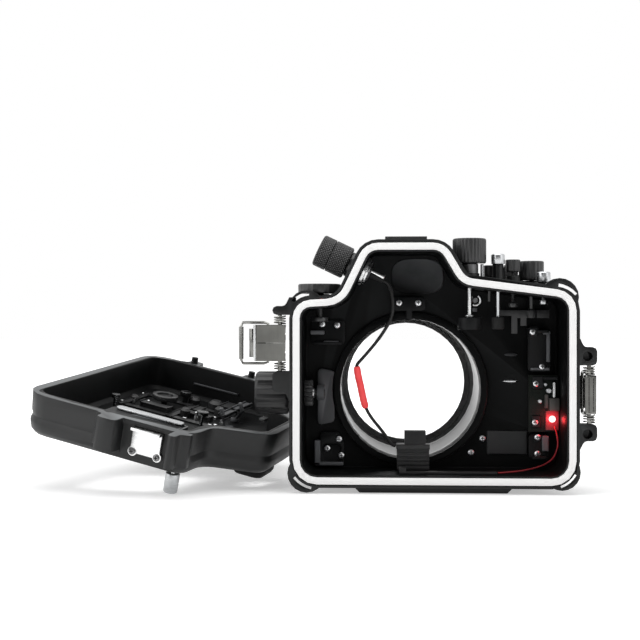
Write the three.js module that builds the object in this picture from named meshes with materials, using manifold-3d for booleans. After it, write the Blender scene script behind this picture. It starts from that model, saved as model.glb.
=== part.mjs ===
// An underwater camera housing standing open: the front half with its lens port, controls and wiring,
// and the rear cover taken off and laid beside it with its inside up.
// Millimetres. X runs to the right seen from the back, Y forward through the lens port, Z up.
// The origin lies under the middle of the foot that the front half stands on.
import * as THREE from 'three';
import { mergeVertices } from 'three/addons/utils/BufferGeometryUtils.js';
import Module from 'manifold-3d';

const wasm = await Module();
wasm.setup();

// Shared sizes
const overrun = 2;
const runningFit = 0.3;
const seatFit = 0.3;

// The outline that the two halves share, as the corners of its straight sides and their fillets.
// The corners between hump and shoulders lie at shares of the half width, and at drops below the top.
const overall = { halfWidth: 98.9, bottom: 4, top: 174.3 };
const cornerShare = { rightNeck: 0.2336, humpRight: 0.089, humpLeft: -0.4894, leftNeck: -0.6744 };
const drop = { rightShoulder: 34, rightNeck: 24.2, leftNeck: 38, leftShoulder: 39.7 };
const outline = {
  halfWidth: overall.halfWidth,
  bottom: overall.bottom,
  top: overall.top,
  rightShoulder: overall.top - drop.rightShoulder,
  rightNeckX: cornerShare.rightNeck * overall.halfWidth,
  rightNeckZ: overall.top - drop.rightNeck,
  humpRight: cornerShare.humpRight * overall.halfWidth,
  humpLeft: cornerShare.humpLeft * overall.halfWidth,
  leftNeckX: cornerShare.leftNeck * overall.halfWidth,
  leftNeckZ: overall.top - drop.leftNeck,
  leftShoulder: overall.top - drop.leftShoulder,
  footRadius: 19,
  rightShoulderRadius: 17,
  rightNeckRadius: 8,
  humpRadius: 16.5,
  leftNeckRadius: 11.5,
  leftShoulderRadius: 15,
};
const arcSteps = 4;
const leastRadius = 1;

// The front half
const flange = { y: -26, thickness: 5, edge: 2.2, sealWidth: 5.1, grooveDepth: 1.6, sealProud: 0.5 };
const body = { inset: 3.2, depth: 51, wall: 5.3, frontWall: 7, edgeRound: 8, insideRound: 1 };
const bodyFront = flange.y + body.depth;
const frontInside = bodyFront - body.frontWall;
const cavityInset = body.inset + body.wall;
const floorZ = outline.bottom + cavityInset;

// Small helpers: every solid is made as a three.js geometry and then joined or cut
function solid(geometry) {
  const plain = geometry.clone();
  plain.deleteAttribute('normal');
  plain.deleteAttribute('uv');
  const merged = mergeVertices(plain);
  const position = merged.attributes.position.array;
  const triangles = [];
  let volume = 0;
  const corner = [new THREE.Vector3(), new THREE.Vector3(), new THREE.Vector3()];
  for (let i = 0; i < merged.index.count; i += 3) {
    const [a, b, c] = [0, 1, 2].map((k) => merged.index.array[i + k]);
    if (a === b || b === c || c === a) continue;
    triangles.push(a, b, c);
    [a, b, c].forEach((v, k) => corner[k].fromArray(position, 3 * v));
    volume += corner[0].dot(corner[1].cross(corner[2]));
  }
  if (volume < 0) {
    triangles.reverse();
  }
  const mesh = new wasm.Mesh({
    numProp: 3,
    vertProperties: new Float32Array(position),
    triVerts: new Uint32Array(triangles),
  });
  return new wasm.Manifold(mesh);
}

function join(...parts) {
  return parts.reduce((whole, part) => whole.add(part));
}

function cut(whole, ...parts) {
  return parts.reduce((rest, part) => rest.subtract(part), whole);
}

function box(x0, x1, y0, y1, z0, z1) {
  const geometry = new THREE.BoxGeometry(x1 - x0, y1 - y0, z1 - z0);
  geometry.translate((x0 + x1) / 2, (y0 + y1) / 2, (z0 + z1) / 2);
  return solid(geometry);
}

function rod(from, to, radius, sides = 16, endRadius = radius) {
  const axis = new THREE.Vector3().subVectors(to, from);
  const geometry = new THREE.CylinderGeometry(endRadius, radius, axis.length(), sides);
  const along = axis.clone().normalize();
  const turn = new THREE.Quaternion().setFromUnitVectors(new THREE.Vector3(0, 1, 0), along);
  geometry.applyQuaternion(turn);
  const middle = new THREE.Vector3().addVectors(from, to).multiplyScalar(0.5);
  geometry.translate(middle.x, middle.y, middle.z);
  return solid(geometry);
}

// A turned solid: [radius, height] pairs up the axis that starts at the base point
function turned(profile, base, axis, sides = 32) {
  const points = profile.map(([radius, height]) => new THREE.Vector2(radius, height));
  const geometry = new THREE.LatheGeometry(points, sides);
  geometry.applyQuaternion(new THREE.Quaternion().setFromUnitVectors(new THREE.Vector3(0, 1, 0), axis));
  geometry.translate(base.x, base.y, base.z);
  return solid(geometry);
}

// A polygon whose corners [x, z, radius] are rounded, as points in order
function rounded(corners, steps = arcSteps) {
  const points = [];
  corners.forEach(([x, z, radius], i) => {
    const before = corners[(i + corners.length - 1) % corners.length];
    const after = corners[(i + 1) % corners.length];
    const here = new THREE.Vector2(x, z);
    const back = new THREE.Vector2(before[0], before[1]).sub(here).normalize();
    const ahead = new THREE.Vector2(after[0], after[1]).sub(here).normalize();
    if (radius === 0) {
      points.push(here);
      return;
    }
    const half = back.angleTo(ahead) / 2;
    const centre = back.clone().add(ahead).normalize().multiplyScalar(radius / Math.sin(half)).add(here);
    const first = here.clone().addScaledVector(back, radius / Math.tan(half)).sub(centre);
    const sweep = (Math.PI - 2 * half) * Math.sign(back.cross(ahead));
    for (let k = 0; k <= steps; k += 1) {
      points.push(first.clone().rotateAround(new THREE.Vector2(), (-sweep * k) / steps).add(centre));
    }
  });
  return points;
}

// A skin through rings of equally many points, closed at both ends; place turns [x, z] at y into space
function loft(sections, place = (p, y) => [p.x, y, p.y]) {
  const forward = THREE.ShapeUtils.area(sections[0].points) > 0;
  const rings = sections.map(({ y, points }) => ({ y, points: forward ? points : [...points].reverse() }));
  const count = rings[0].points.length;
  const vertices = rings.flatMap((ring) => ring.points.flatMap((p) => place(p, ring.y)));
  const index = [];
  for (let r = 0; r + 1 < rings.length; r += 1) {
    for (let k = 0; k < count; k += 1) {
      const next = (k + 1) % count;
      const [a, b, c, d] = [r * count + k, r * count + next, (r + 1) * count + next, (r + 1) * count + k];
      index.push(a, b, c, a, c, d);
    }
  }
  const last = (rings.length - 1) * count;
  const cap = (points) => THREE.ShapeUtils.triangulateShape(points, []);
  cap(rings[0].points).forEach(([a, b, c]) => index.push(a, c, b));
  cap(rings[rings.length - 1].points).forEach(([a, b, c]) => index.push(last + a, last + b, last + c));
  const geometry = new THREE.BufferGeometry();
  geometry.setAttribute('position', new THREE.Float32BufferAttribute(vertices, 3));
  geometry.setIndex(index);
  return solid(geometry);
}

function prism(points, y0, y1) {
  return loft([{ y: y0, points }, { y: y1, points }]);
}

// The same along X, over a section in Y and Z
function sideways(points, x0, x1) {
  return loft([{ y: x0, points }, { y: x1, points }], (p, x) => [x, p.x, p.y]);
}

// A ring of points whose radius swings in and out, for knurls and grip flutes
function fluted(radius, depth, flutes, pointsEach = 4) {
  const points = [];
  for (let k = 0; k < flutes * pointsEach; k += 1) {
    const angle = (2 * Math.PI * k) / (flutes * pointsEach);
    const swing = (1 - Math.cos((2 * Math.PI * k) / pointsEach)) / 2;
    const reach = radius - depth * swing;
    points.push(new THREE.Vector2(reach * Math.cos(angle), reach * Math.sin(angle)));
  }
  return points;
}

// A knob with flutes round it and plain chamfers at both ends, standing on its base point
function flutedKnob({ radius, height, flutes, fluteDepth, chamfer }, base, axis, pointsEach = 4) {
  const grip = fluted(radius, fluteDepth, flutes, pointsEach);
  const plain = fluted(radius - fluteDepth, 0, flutes, pointsEach);
  const rings = [
    { y: 0, points: plain },
    { y: chamfer, points: grip },
    { y: height - chamfer, points: grip },
    { y: height, points: plain },
  ];
  const turn = new THREE.Quaternion().setFromUnitVectors(new THREE.Vector3(0, 0, 1), axis);
  return loft(rings, (p, y) => new THREE.Vector3(p.x, p.y, y).applyQuaternion(turn).add(base).toArray());
}

// A round wire along points, with its corners rounded
function wire(points, radius, bend, sides = 8, steps = 40) {
  const path = new THREE.CurvePath();
  let from = points[0];
  for (let k = 1; k + 1 < points.length; k += 1) {
    const back = points[k - 1].clone().sub(points[k]).setLength(bend).add(points[k]);
    const ahead = points[k + 1].clone().sub(points[k]).setLength(bend).add(points[k]);
    path.add(new THREE.LineCurve3(from, back));
    path.add(new THREE.QuadraticBezierCurve3(back, points[k], ahead));
    from = ahead;
  }
  path.add(new THREE.LineCurve3(from, points[points.length - 1]));
  return swept(path, radius, sides, steps);
}

function swept(path, radius, sides, steps) {
  const section = new THREE.Shape();
  for (let k = 0; k < sides; k += 1) {
    const angle = (2 * Math.PI * k) / sides;
    const [x, y] = [radius * Math.cos(angle), radius * Math.sin(angle)];
    if (k === 0) section.moveTo(x, y);
    else section.lineTo(x, y);
  }
  return solid(new THREE.ExtrudeGeometry(section, { extrudePath: path, steps, bevelEnabled: false }));
}

const at = (x, y, z) => new THREE.Vector3(x, y, z);
const UP = at(0, 0, 1);
const FORWARD = at(0, 1, 0);
const BACK = at(0, -1, 0);
const LEFT = at(-1, 0, 0);

// The shared outline, moved in by an inset
function housingOutline(inset = 0) {
  const o = outline;
  const corners = [
    [-o.halfWidth, o.bottom, o.footRadius],
    [o.halfWidth, o.bottom, o.footRadius],
    [o.halfWidth, o.rightShoulder, o.rightShoulderRadius],
    [o.rightNeckX, o.rightNeckZ, -o.rightNeckRadius],
    [o.humpRight, o.top, o.humpRadius],
    [o.humpLeft, o.top, o.humpRadius],
    [o.leftNeckX, o.leftNeckZ, -o.leftNeckRadius],
    [-o.halfWidth, o.leftShoulder, o.leftShoulderRadius],
  ];
  const count = corners.length;
  const sides = corners.map(([x, z], i) => {
    const from = new THREE.Vector2(x, z);
    const to = new THREE.Vector2(corners[(i + 1) % count][0], corners[(i + 1) % count][1]);
    const along = to.sub(from).normalize();
    const inward = new THREE.Vector2(-along.y, along.x);
    return { point: from.addScaledVector(inward, inset), along };
  });
  return rounded(corners.map((corner, i) => {
    const before = sides[(i + count - 1) % count];
    const after = sides[i];
    const gap = after.point.clone().sub(before.point);
    const reach = gap.cross(after.along) / before.along.cross(after.along);
    const place = before.point.clone().addScaledVector(before.along, reach);
    const radius = Math.max(Math.abs(corner[2] - inset), leastRadius);
    return [place.x, place.y, radius];
  }));
}

// Where the sloping right shoulder lies at x
function rightShoulderZ(x, inset) {
  const slope = (outline.rightShoulder - outline.rightNeckZ) / (outline.halfWidth - outline.rightNeckX);
  return outline.rightNeckZ + slope * (x - outline.rightNeckX) - inset * Math.hypot(1, slope);
}

// Materials
function paint(color, roughness, metalness) {
  return new THREE.MeshStandardMaterial({ color, roughness, metalness });
}
const looks = {
  anodised: paint('#1b1c1d', 0.55, 0.3),
  moulded: paint('#161718', 0.6, 0),
  darkMetal: paint('#26282a', 0.45, 0.6),
  steel: paint('#c8c9ca', 0.25, 1),
  bareMetal: paint('#9fa1a3', 0.4, 1),
  seal: paint('#f4f4f2', 0.6, 0),
  rubber: paint('#141414', 0.85, 0),
  red: paint('#c5332b', 0.6, 0),
  clear: paint('#e8eef0', 0.05, 0),
  board: paint('#101512', 0.5, 0),
  lamp: paint('#ff4a4a', 0.3, 0),
};

const housing = new THREE.Group();
const cover = new THREE.Group();

function piece(group, name, manifold, material) {
  const { vertProperties, triVerts } = manifold.getMesh();
  const geometry = new THREE.BufferGeometry();
  geometry.setAttribute('position', new THREE.Float32BufferAttribute(vertProperties, 3));
  geometry.setIndex(Array.from(triVerts));
  geometry.computeVertexNormals();
  const mesh = new THREE.Mesh(geometry, material);
  mesh.name = name;
  group.add(mesh);
}

// The lens port: a lock ring inside, a tube in front and a glass held by a front ring
const port = {
  x: -14.7,
  z: 69.4,
  bore: 50.4,
  lockRing: 55.6,
  lockRingDepth: 4,
  lockChamfer: 1,
  boss: 60,
  bossDepth: 6,
  tubeOuter: 58,
  tubeInner: 51.2,
  tubeLength: 94,
  collar: 61,
  collarDepth: 12,
  ribDepth: 1.2,
  ribs: 2,
  sides: 40,
};
const glassRing = { bore: 47.4, outer: 59.5, depth: 10, glassRadius: 51.5, glassThickness: 4, seat: 5 };
const portFront = bodyFront + port.bossDepth;
const tubeFront = portFront + port.tubeLength;

// Latches on both sides: a lever on a pin between two ears, and a wire bail on the lever
const latch = {
  reach: 11.6,
  pinOut: 6.6,
  pinBehind: 3,
  pinRadius: 1.5,
  pinSeat: 2,
  earDepth: 9,
  earRound: 3,
  earFillet: 6,
  eyeRadius: 3.6,
  plateThickness: 1.6,
  plateFace: 4.2,
  leverBack: 4.2,
  leverLength: 17,
  rollRadius: 2.7,
  sideWall: 1.6,
  bailPivot: 8,
  bailReach: 18.7,
  wireRadius: 1.1,
  wireBend: 3,
  barRadius: 1.65,
  bailGap: 0.5,
  coilRadius: 4.3,
  coilWire: 0.55,
  coilTurns: 3,
  coilPitch: 1.7,
  slit: 1.2,
};
const underShoulder = { lowEarBottom: 65.1, lowEarTop: 50.6, highEarBottom: 12, highEarTop: 5.9 };
const latchLeft = {
  side: -1,
  lowEarBottom: outline.leftShoulder - underShoulder.lowEarBottom,
  lowEarTop: outline.leftShoulder - underShoulder.lowEarTop,
  highEarBottom: outline.leftShoulder - underShoulder.highEarBottom,
  highEarTop: outline.leftShoulder - underShoulder.highEarTop,
};
const latchRight = { side: 1, lowEarBottom: 36.8, lowEarTop: 48.4, highEarBottom: 88.2, highEarTop: 100.7 };

// Controls on the shoulders, each with its shaft or sleeve on a boss. Heights marked Up count from the
// shoulder's outline at the control.
const dial = {
  x: 25.8, y: -6, boss: 7, bossUp: 1.8, collar: 5.9,
  radius: 11.8, baseUp: 8.8, height: 17.2, flutes: 30, fluteDepth: 0.7, chamfer: 1.2,
  shaft: 1.4, shaftEndUp: -28.6, ball: 2.2, cup: 8, cupHeight: 8.6, cupWall: 1.6, cupRim: 2.2,
};
const pushButton = {
  x: 45.6, y: -6, sleeve: 3.8, sleeveUp: 13.7, capRadius: 4.8, capUp: 10.9, capHeight: 7, rod: 1.3,
  rodEndUp: -26.0, footRadius: 4.4, footHeight: 8.4, dish: 0.8, travel: 2.5,
};
const discButton = {
  x: 56.4, y: -2, sleeve: 4.8, sleeveUp: 4.0, radius: 5.3, baseUp: 6.9, height: 8.6, rod: 1.4,
  rodEndUp: -17.8, flutes: 14, fluteDepth: 0.5, chamfer: 0.6, footRadius: 3, footHeight: 3,
};
const leverKnob = {
  x: 70.6, wallGap: 10, radius: 8.9, baseUp: 3.2, height: 13.5, flutes: 18, fluteDepth: 0.6, chamfer: 0.8,
  shaft: 2, sleeve: 6, sleeveUp: 2.8,
  armUp: -17.9, armHeight: 5.6, armLeft: 22.7, armRight: 12.3, armWidth: 5, armStep: 11.3, armThin: 4,
  tabDrop: 11, tabWidth: 4.2, tabThickness: 1.6, tabGap: 2.2, hub: 4.4,
};
const rearButton = {
  x: 76.9, behindKnob: 16, sleeve: 3.8, sleeveUp: 5.1, capRadius: 4.8, capUp: 2.3, capHeight: 7.1, rod: 1.3,
  rodEndUp: -13.1, footRadius: 3, footHeight: 3, dish: 0.8, travel: 2.5,
};
const sideKnob = {
  x: 40.5, y: 4, radius: 3.8, baseUp: 1.2, height: 8.6, flutes: 12, fluteDepth: 0.4, chamfer: 0.5,
  shaft: 1.2, sleeve: 3, sleeveUp: 0.7, shaftEndUp: -15.9,
};
const modeDial = {
  fromLeft: 19.9, y: -4, radius: 15.1, baseUp: 3.0, height: 6.7, flutes: 24, fluteDepth: 0.6, chamfer: 0.8,
  shaft: 2.2, sleeve: 7, sleeveUp: 2.6, shaftEndUp: -16.6, pinionRadius: 6, pinionHeight: 3,
};
modeDial.x = -outline.halfWidth + modeDial.fromLeft;
leverKnob.y = frontInside - leverKnob.wallGap;
rearButton.y = leverKnob.y - rearButton.behindKnob;

const upNames = {
  bossUp: 'bossTop', baseUp: 'base', sleeveUp: 'sleeveTop', capUp: 'capBase', rodEndUp: 'rodEnd',
  shaftEndUp: 'shaftEnd', armUp: 'armTop',
};
function standOn(control, shoulder) {
  Object.entries(upNames).filter(([up]) => up in control).forEach(([up, name]) => {
    control[name] = shoulder + control[up];
  });
}
[dial, pushButton, discButton, leverKnob, rearButton, sideKnob].forEach(
  (control) => standOn(control, rightShoulderZ(control.x, 0)));
standOn(modeDial, outline.leftShoulder);

// The zoom control: a large knob on the left wall turns a gear beside the lens
const zoom = {
  y: 0, z: 67.6, radius: 15.4, length: 23.6, gap: 1.6, flutes: 14, fluteDepth: 1.5, chamfer: 2, shaft: 2.5,
  sleeve: 6, gearRadius: 9.3, gearDepth: 1.6, gearTeeth: 20, gearThickness: 6, gearGap: 0.6, shaftTail: 3,
};

// The flash sync socket on the left slope of the hump
const sync = {
  y: -4, along: 23.5, boreRadius: 5.3, bodyRadius: 9, bodyLength: 5.6, threadRadius: 5, nutAcross: 10.6,
  nutThickness: 1.6, washerRadius: 6.4, washerThickness: 3.2, tail: 1.2, capGap: 0.4, capRadius: 11.4,
  capLength: 22.8, capFlutes: 30, capFluteDepth: 0.5, capChamfer: 0.8, capStep: 10, capStepDepth: 1.1,
  capStepWidth: 0.7, threadGap: 0.35, threadReach: 12, bootRadius: 2.5, bootEnd: 1.7, bootLength: 10,
  cordRadius: 1.15,
};
const slope = {
  along: at(outline.humpLeft - outline.leftNeckX, 0, outline.top - outline.leftNeckZ).normalize(),
};
slope.outward = at(-slope.along.z, 0, slope.along.x);
slope.seat = at(outline.leftNeckX, sync.y, outline.leftNeckZ)
  .addScaledVector(slope.along, sync.along)
  .addScaledVector(slope.outward, -body.inset);
const onSlope = (t) => slope.seat.clone().addScaledVector(slope.outward, t);

// The front shell
function frontOuter() {
  const round = body.edgeRound;
  const rings = [
    { y: flange.y, points: housingOutline(0) },
    { y: flange.y + flange.thickness, points: housingOutline(0) },
    { y: flange.y + flange.thickness, points: housingOutline(body.inset) },
  ];
  const arc = 3;
  for (let k = 0; k <= arc; k += 1) {
    const angle = (Math.PI / 2) * (k / arc);
    rings.push({
      y: bodyFront - round + round * Math.sin(angle),
      points: housingOutline(body.inset + round * (1 - Math.cos(angle))),
    });
  }
  return loft(rings);
}

function cavity() {
  const round = body.insideRound;
  return loft([
    { y: flange.y - overrun, points: housingOutline(cavityInset) },
    { y: frontInside - round, points: housingOutline(cavityInset) },
    { y: frontInside, points: housingOutline(cavityInset + round) },
  ]);
}

// A strap lug at a corner: a round tab past the corner with an arched slot between
const lug = { slotWidth: 2.4, slotHalfAngle: 0.36, slotSteps: 4, tabSides: 20 };
const lugs = {
  highRight: { x: 85.2, z: 134.6, radius: 13, slotRadius: 19.8, slotAngle: 1.08 },
  lowRight: { x: 86.8, z: 15.6, radius: 12.6, slotRadius: 18.9, slotAngle: -0.87 },
  lowLeft: { x: -87, z: 13.9, radius: 13.2, slotRadius: 19.9, slotAngle: -2.13 },
  highLeft: { x: -87, z: 127.4, radius: 12.2, slotRadius: 17.6, slotAngle: 2.01 },
};
function cornerLug(tab, cornerX, cornerZ, cornerRadius, upward) {
  const centreX = cornerX - Math.sign(cornerX) * cornerRadius;
  const centreZ = cornerZ - upward * cornerRadius;
  const disc = rod(
    at(tab.x, flange.y, tab.z), at(tab.x, flange.y + flange.thickness, tab.z), tab.radius, lug.tabSides);
  const slotPoints = [];
  [-1, 1].forEach((row) => {
    for (let k = 0; k <= lug.slotSteps; k += 1) {
      const share = 2 * (k / lug.slotSteps) - 1;
      const angle = tab.slotAngle - row * lug.slotHalfAngle * share;
      const radius = tab.slotRadius + (row * lug.slotWidth) / 2;
      slotPoints.push(new THREE.Vector2(
        centreX + radius * Math.cos(angle), centreZ + radius * Math.sin(angle)));
    }
  });
  const slot = prism(slotPoints, flange.y - overrun, flange.y + flange.thickness + overrun);
  return { disc, slot };
}

function allLugs() {
  const o = outline;
  return [
    cornerLug(lugs.highRight, o.halfWidth, o.rightShoulder, o.rightShoulderRadius, 1),
    cornerLug(lugs.lowRight, o.halfWidth, o.bottom, o.footRadius, -1),
    cornerLug(lugs.lowLeft, -o.halfWidth, o.bottom, o.footRadius, -1),
    cornerLug(lugs.highLeft, -o.halfWidth, o.leftShoulder, o.leftShoulderRadius, 1),
  ];
}

// Two ears that stand out from a side wall and hold a pin between them, from y0 to y1
function ears(place, y0, y1) {
  const { side } = place;
  const root = side * (outline.halfWidth - cavityInset / 2);
  const edge = side * outline.halfWidth;
  const tip = side * (outline.halfWidth + latch.reach);
  const ear = (low, high, filletUp) => {
    const corners = [
      [root, low - (filletUp ? 0 : latch.earFillet), 0],
      [edge, low - (filletUp ? 0 : latch.earFillet), 0],
      [edge + side * latch.earFillet / 2, low, latch.earFillet / 2],
      [tip, low, latch.earRound],
      [tip, high, latch.earRound],
      [edge + side * latch.earFillet / 2, high, latch.earFillet / 2],
      [edge, high + (filletUp ? latch.earFillet : 0), 0],
      [root, high + (filletUp ? latch.earFillet : 0), 0],
    ].filter((corner, i) => (filletUp ? i !== 2 : i !== 5));
    return prism(rounded(corners, 2), y0, y1);
  };
  return join(
    ear(place.lowEarBottom, place.lowEarTop, false), ear(place.highEarBottom, place.highEarTop, true));
}

function pinAxis(place) {
  return { x: place.side * (outline.halfWidth + latch.pinOut), y: flange.y + latch.pinBehind };
}

function pinBore(place) {
  const { x, y } = pinAxis(place);
  return rod(
    at(x, y, place.lowEarTop - latch.pinSeat - seatFit),
    at(x, y, place.highEarBottom + latch.pinSeat + seatFit), latch.pinRadius + seatFit, 10);
}

// Pegs on the cover's right ears fit sockets in the front half's ears, so that the halves meet in line
const peg = {
  out: 5.1, lowIn: 4.8, highIn: 6.2, radius: 3, tipRadius: 2.7, height: 4.6, depth: 5, sides: 12,
};
peg.places = [latchRight.lowEarBottom + peg.lowIn, latchRight.highEarBottom + peg.highIn].map(
  (z) => ({ x: outline.halfWidth + peg.out, z }));
const pegs = () => peg.places.map(({ x, z }) => rod(
  at(x, -peg.radius, z), at(x, peg.height, z), peg.radius, peg.sides, peg.tipRadius));
const pegSockets = () => peg.places.map(({ x, z }) => rod(
  at(x, flange.y - overrun, z), at(x, flange.y + peg.depth, z), peg.radius + runningFit, peg.sides));

function boss(x, y, radius, top) {
  return rod(at(x, y, rightShoulderZ(x, cavityInset)), at(x, y, top), radius, 16);
}

// Bosses on the inside of the front wall, which the small plates and boards are screwed to
const standoff = { radius: 2.4 };
const board = { fromRight: 8.9, width: 21.4, bottom: 39.8, top: 80, thickness: 1.6, stand: 8, postIn: 3.4 };
board.right = outline.halfWidth - board.fromRight;
board.left = board.right - board.width;
function boardPosts() {
  const y = frontInside - board.stand;
  const xs = [board.left + board.postIn, board.right - board.postIn];
  const zs = [board.bottom + board.postIn, board.top - board.postIn];
  return xs.flatMap((x) => zs.map((z) => rod(
    at(x, y, z), at(x, frontInside + overrun, z), standoff.radius, 8)));
}

function frontShell() {
  const parts = [frontOuter()];
  const cornerLugs = allLugs();
  parts.push(...cornerLugs.map(({ disc }) => disc));
  parts.push(ears(latchLeft, flange.y, flange.y + latch.earDepth));
  parts.push(ears(latchRight, flange.y, flange.y + latch.earDepth));
  parts.push(rod(
    at(port.x, bodyFront - overrun, port.z), at(port.x, portFront, port.z), port.boss, port.sides));
  parts.push(boss(dial.x, dial.y, dial.boss, dial.bossTop));
  parts.push(boss(dial.x, dial.y, dial.collar, dial.base - seatFit));
  parts.push(boss(pushButton.x, pushButton.y, pushButton.sleeve, pushButton.sleeveTop));
  parts.push(boss(discButton.x, discButton.y, discButton.sleeve, discButton.sleeveTop));
  parts.push(boss(leverKnob.x, leverKnob.y, leverKnob.sleeve, leverKnob.sleeveTop));
  parts.push(boss(rearButton.x, rearButton.y, rearButton.sleeve, rearButton.sleeveTop));
  parts.push(boss(sideKnob.x, sideKnob.y, sideKnob.sleeve, sideKnob.sleeveTop));
  const shoulder = outline.leftShoulder - cavityInset;
  parts.push(rod(
    at(modeDial.x, modeDial.y, shoulder), at(modeDial.x, modeDial.y, modeDial.sleeveTop), modeDial.sleeve));
  const wallX = -outline.halfWidth + body.inset;
  parts.push(rod(
    at(wallX + body.wall / 2, zoom.y, zoom.z), at(-outline.halfWidth, zoom.y, zoom.z), zoom.sleeve));
  const outer = join(...parts);
  const sealOuter = flange.edge - seatFit / 2;
  const sealInner = flange.edge + flange.sealWidth + seatFit / 2;
  const groove = cut(
    prism(housingOutline(sealOuter), flange.y - overrun, flange.y + flange.grooveDepth),
    prism(housingOutline(sealInner), flange.y - 2 * overrun, flange.y + flange.grooveDepth + overrun));
  const hollow = cavity();
  const portBore = rod(
    at(port.x, frontInside - overrun, port.z), at(port.x, portFront + overrun, port.z),
    port.bore, port.sides);
  const shaftHoles = [dial, pushButton, discButton, leverKnob, rearButton, sideKnob].map((control) => {
    const radius = (control.shaft ?? control.rod) + runningFit;
    return rod(
      at(control.x, control.y, rightShoulderZ(control.x, cavityInset) - overrun),
      at(control.x, control.y, outline.top), radius, 10);
  });
  const modeHole = rod(
    at(modeDial.x, modeDial.y, shoulder - overrun), at(modeDial.x, modeDial.y, outline.top),
    modeDial.shaft + runningFit, 10);
  const zoomHole = rod(
    at(-outline.halfWidth - overrun, zoom.y, zoom.z), at(wallX + body.wall + overrun, zoom.y, zoom.z),
    zoom.shaft + runningFit, 10);
  const syncHole = rod(onSlope(overrun), onSlope(-body.wall - overrun), sync.boreRadius, 16);
  const shell = cut(
    outer, hollow, groove, portBore, ...shaftHoles, modeHole, zoomHole, syncHole,
    ...cornerLugs.map(({ slot }) => slot), ...pegSockets(), pinBore(latchLeft), pinBore(latchRight));
  return join(shell, ...boardPosts());
}

function mainSeal() {
  const y0 = flange.y - flange.sealProud;
  const y1 = flange.y + flange.grooveDepth;
  return cut(
    prism(housingOutline(flange.edge + seatFit / 2), y0, y1),
    prism(housingOutline(flange.edge + flange.sealWidth - seatFit / 2), y0 - overrun, y1 + overrun));
}

// The lens port's pieces
function lockRing() {
  const depth = port.lockRingDepth;
  const chamfer = port.lockChamfer;
  return turned([
    [port.bore, 0],
    [port.lockRing - chamfer, 0],
    [port.lockRing, chamfer],
    [port.lockRing, depth],
    [port.bore, depth],
    [port.bore, 0],
  ], at(port.x, frontInside - depth, port.z), FORWARD, port.sides);
}

function portTube() {
  const rib = port.collarDepth / (2 * port.ribs + 1);
  const profile = [[port.bore, 0], [port.collar - port.ribDepth, 0]];
  for (let k = 0; k < port.ribs; k += 1) {
    profile.push([port.collar, rib * (2 * k + 1)], [port.collar, rib * (2 * k + 2) - rib / 2]);
    profile.push([port.collar - port.ribDepth, rib * (2 * k + 2)]);
  }
  profile.push(
    [port.collar - port.ribDepth, port.collarDepth],
    [port.tubeOuter, port.collarDepth],
    [port.tubeOuter, port.tubeLength],
    [port.tubeInner, port.tubeLength],
    [port.tubeInner, port.collarDepth],
    [port.bore, port.collarDepth / 2],
    [port.bore, 0]);
  return turned(profile, at(port.x, portFront, port.z), FORWARD, port.sides);
}

function portFrontRing() {
  const g = glassRing;
  const round = (g.outer - g.bore) / 6;
  return turned([
    [g.glassRadius + seatFit, 0],
    [g.outer, 0],
    [g.outer, g.depth - round],
    [g.outer - round, g.depth],
    [g.bore + round, g.depth],
    [g.bore, g.depth - round],
    [g.bore, g.seat],
    [g.glassRadius + seatFit, g.seat],
    [g.glassRadius + seatFit, 0],
  ], at(port.x, tubeFront, port.z), FORWARD, port.sides);
}

function portGlass() {
  const g = glassRing;
  const front = tubeFront + g.seat - seatFit;
  return rod(
    at(port.x, front - g.glassThickness, port.z), at(port.x, front, port.z), g.glassRadius, port.sides);
}

// The foot under the front half and the accessory shoe on the hump
const foot = { halfWidth: 53.7, y0: -20, y1: 56, chamfer: 3, hole: 2.2, holeX: 36, holeDepth: 4 };
function footBlock() {
  const top = outline.bottom + body.inset;
  const half = foot.halfWidth;
  const block = prism([
    new THREE.Vector2(-half + foot.chamfer, 0),
    new THREE.Vector2(half - foot.chamfer, 0),
    new THREE.Vector2(half, foot.chamfer),
    new THREE.Vector2(half, top),
    new THREE.Vector2(-half, top),
    new THREE.Vector2(-half, foot.chamfer),
  ], foot.y0, foot.y1);
  const holes = [-foot.holeX, foot.holeX].map((x) => rod(
    at(x, (foot.y0 + foot.y1) / 2, -overrun), at(x, (foot.y0 + foot.y1) / 2, foot.holeDepth), foot.hole, 24));
  return cut(block, ...holes);
}

const shoe = {
  x: -18.5, halfWidth: 14.5, y0: -14, y1: 8, floor: 2.4, height: 6, slot: 9.4, lip: 6.2, lipThick: 1.4,
};
function accessoryShoe() {
  const z = outline.top - body.inset;
  const whole = box(shoe.x - shoe.halfWidth, shoe.x + shoe.halfWidth, shoe.y0, shoe.y1, z, z + shoe.height);
  const slot = box(
    shoe.x - shoe.slot, shoe.x + shoe.slot, shoe.y0 + shoe.floor, shoe.y1 + overrun,
    z + shoe.floor, z + shoe.height - shoe.lipThick);
  const mouth = box(
    shoe.x - shoe.lip, shoe.x + shoe.lip, shoe.y0 + shoe.floor, shoe.y1 + overrun,
    z + shoe.floor, z + shoe.height + overrun);
  return cut(whole, slot, mouth);
}

// The sync socket and its cap
function syncBulkhead() {
  const s = sync;
  const inner = -body.wall - s.nutThickness - s.washerThickness - s.tail;
  return turned([
    [0, inner],
    [s.threadRadius, inner],
    [s.threadRadius, 0],
    [s.bodyRadius, 0],
    [s.bodyRadius, s.bodyLength],
    [s.threadRadius, s.bodyLength],
    [s.threadRadius, s.threadReach],
    [0, s.threadReach],
  ], slope.seat, slope.outward, 16);
}

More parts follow.
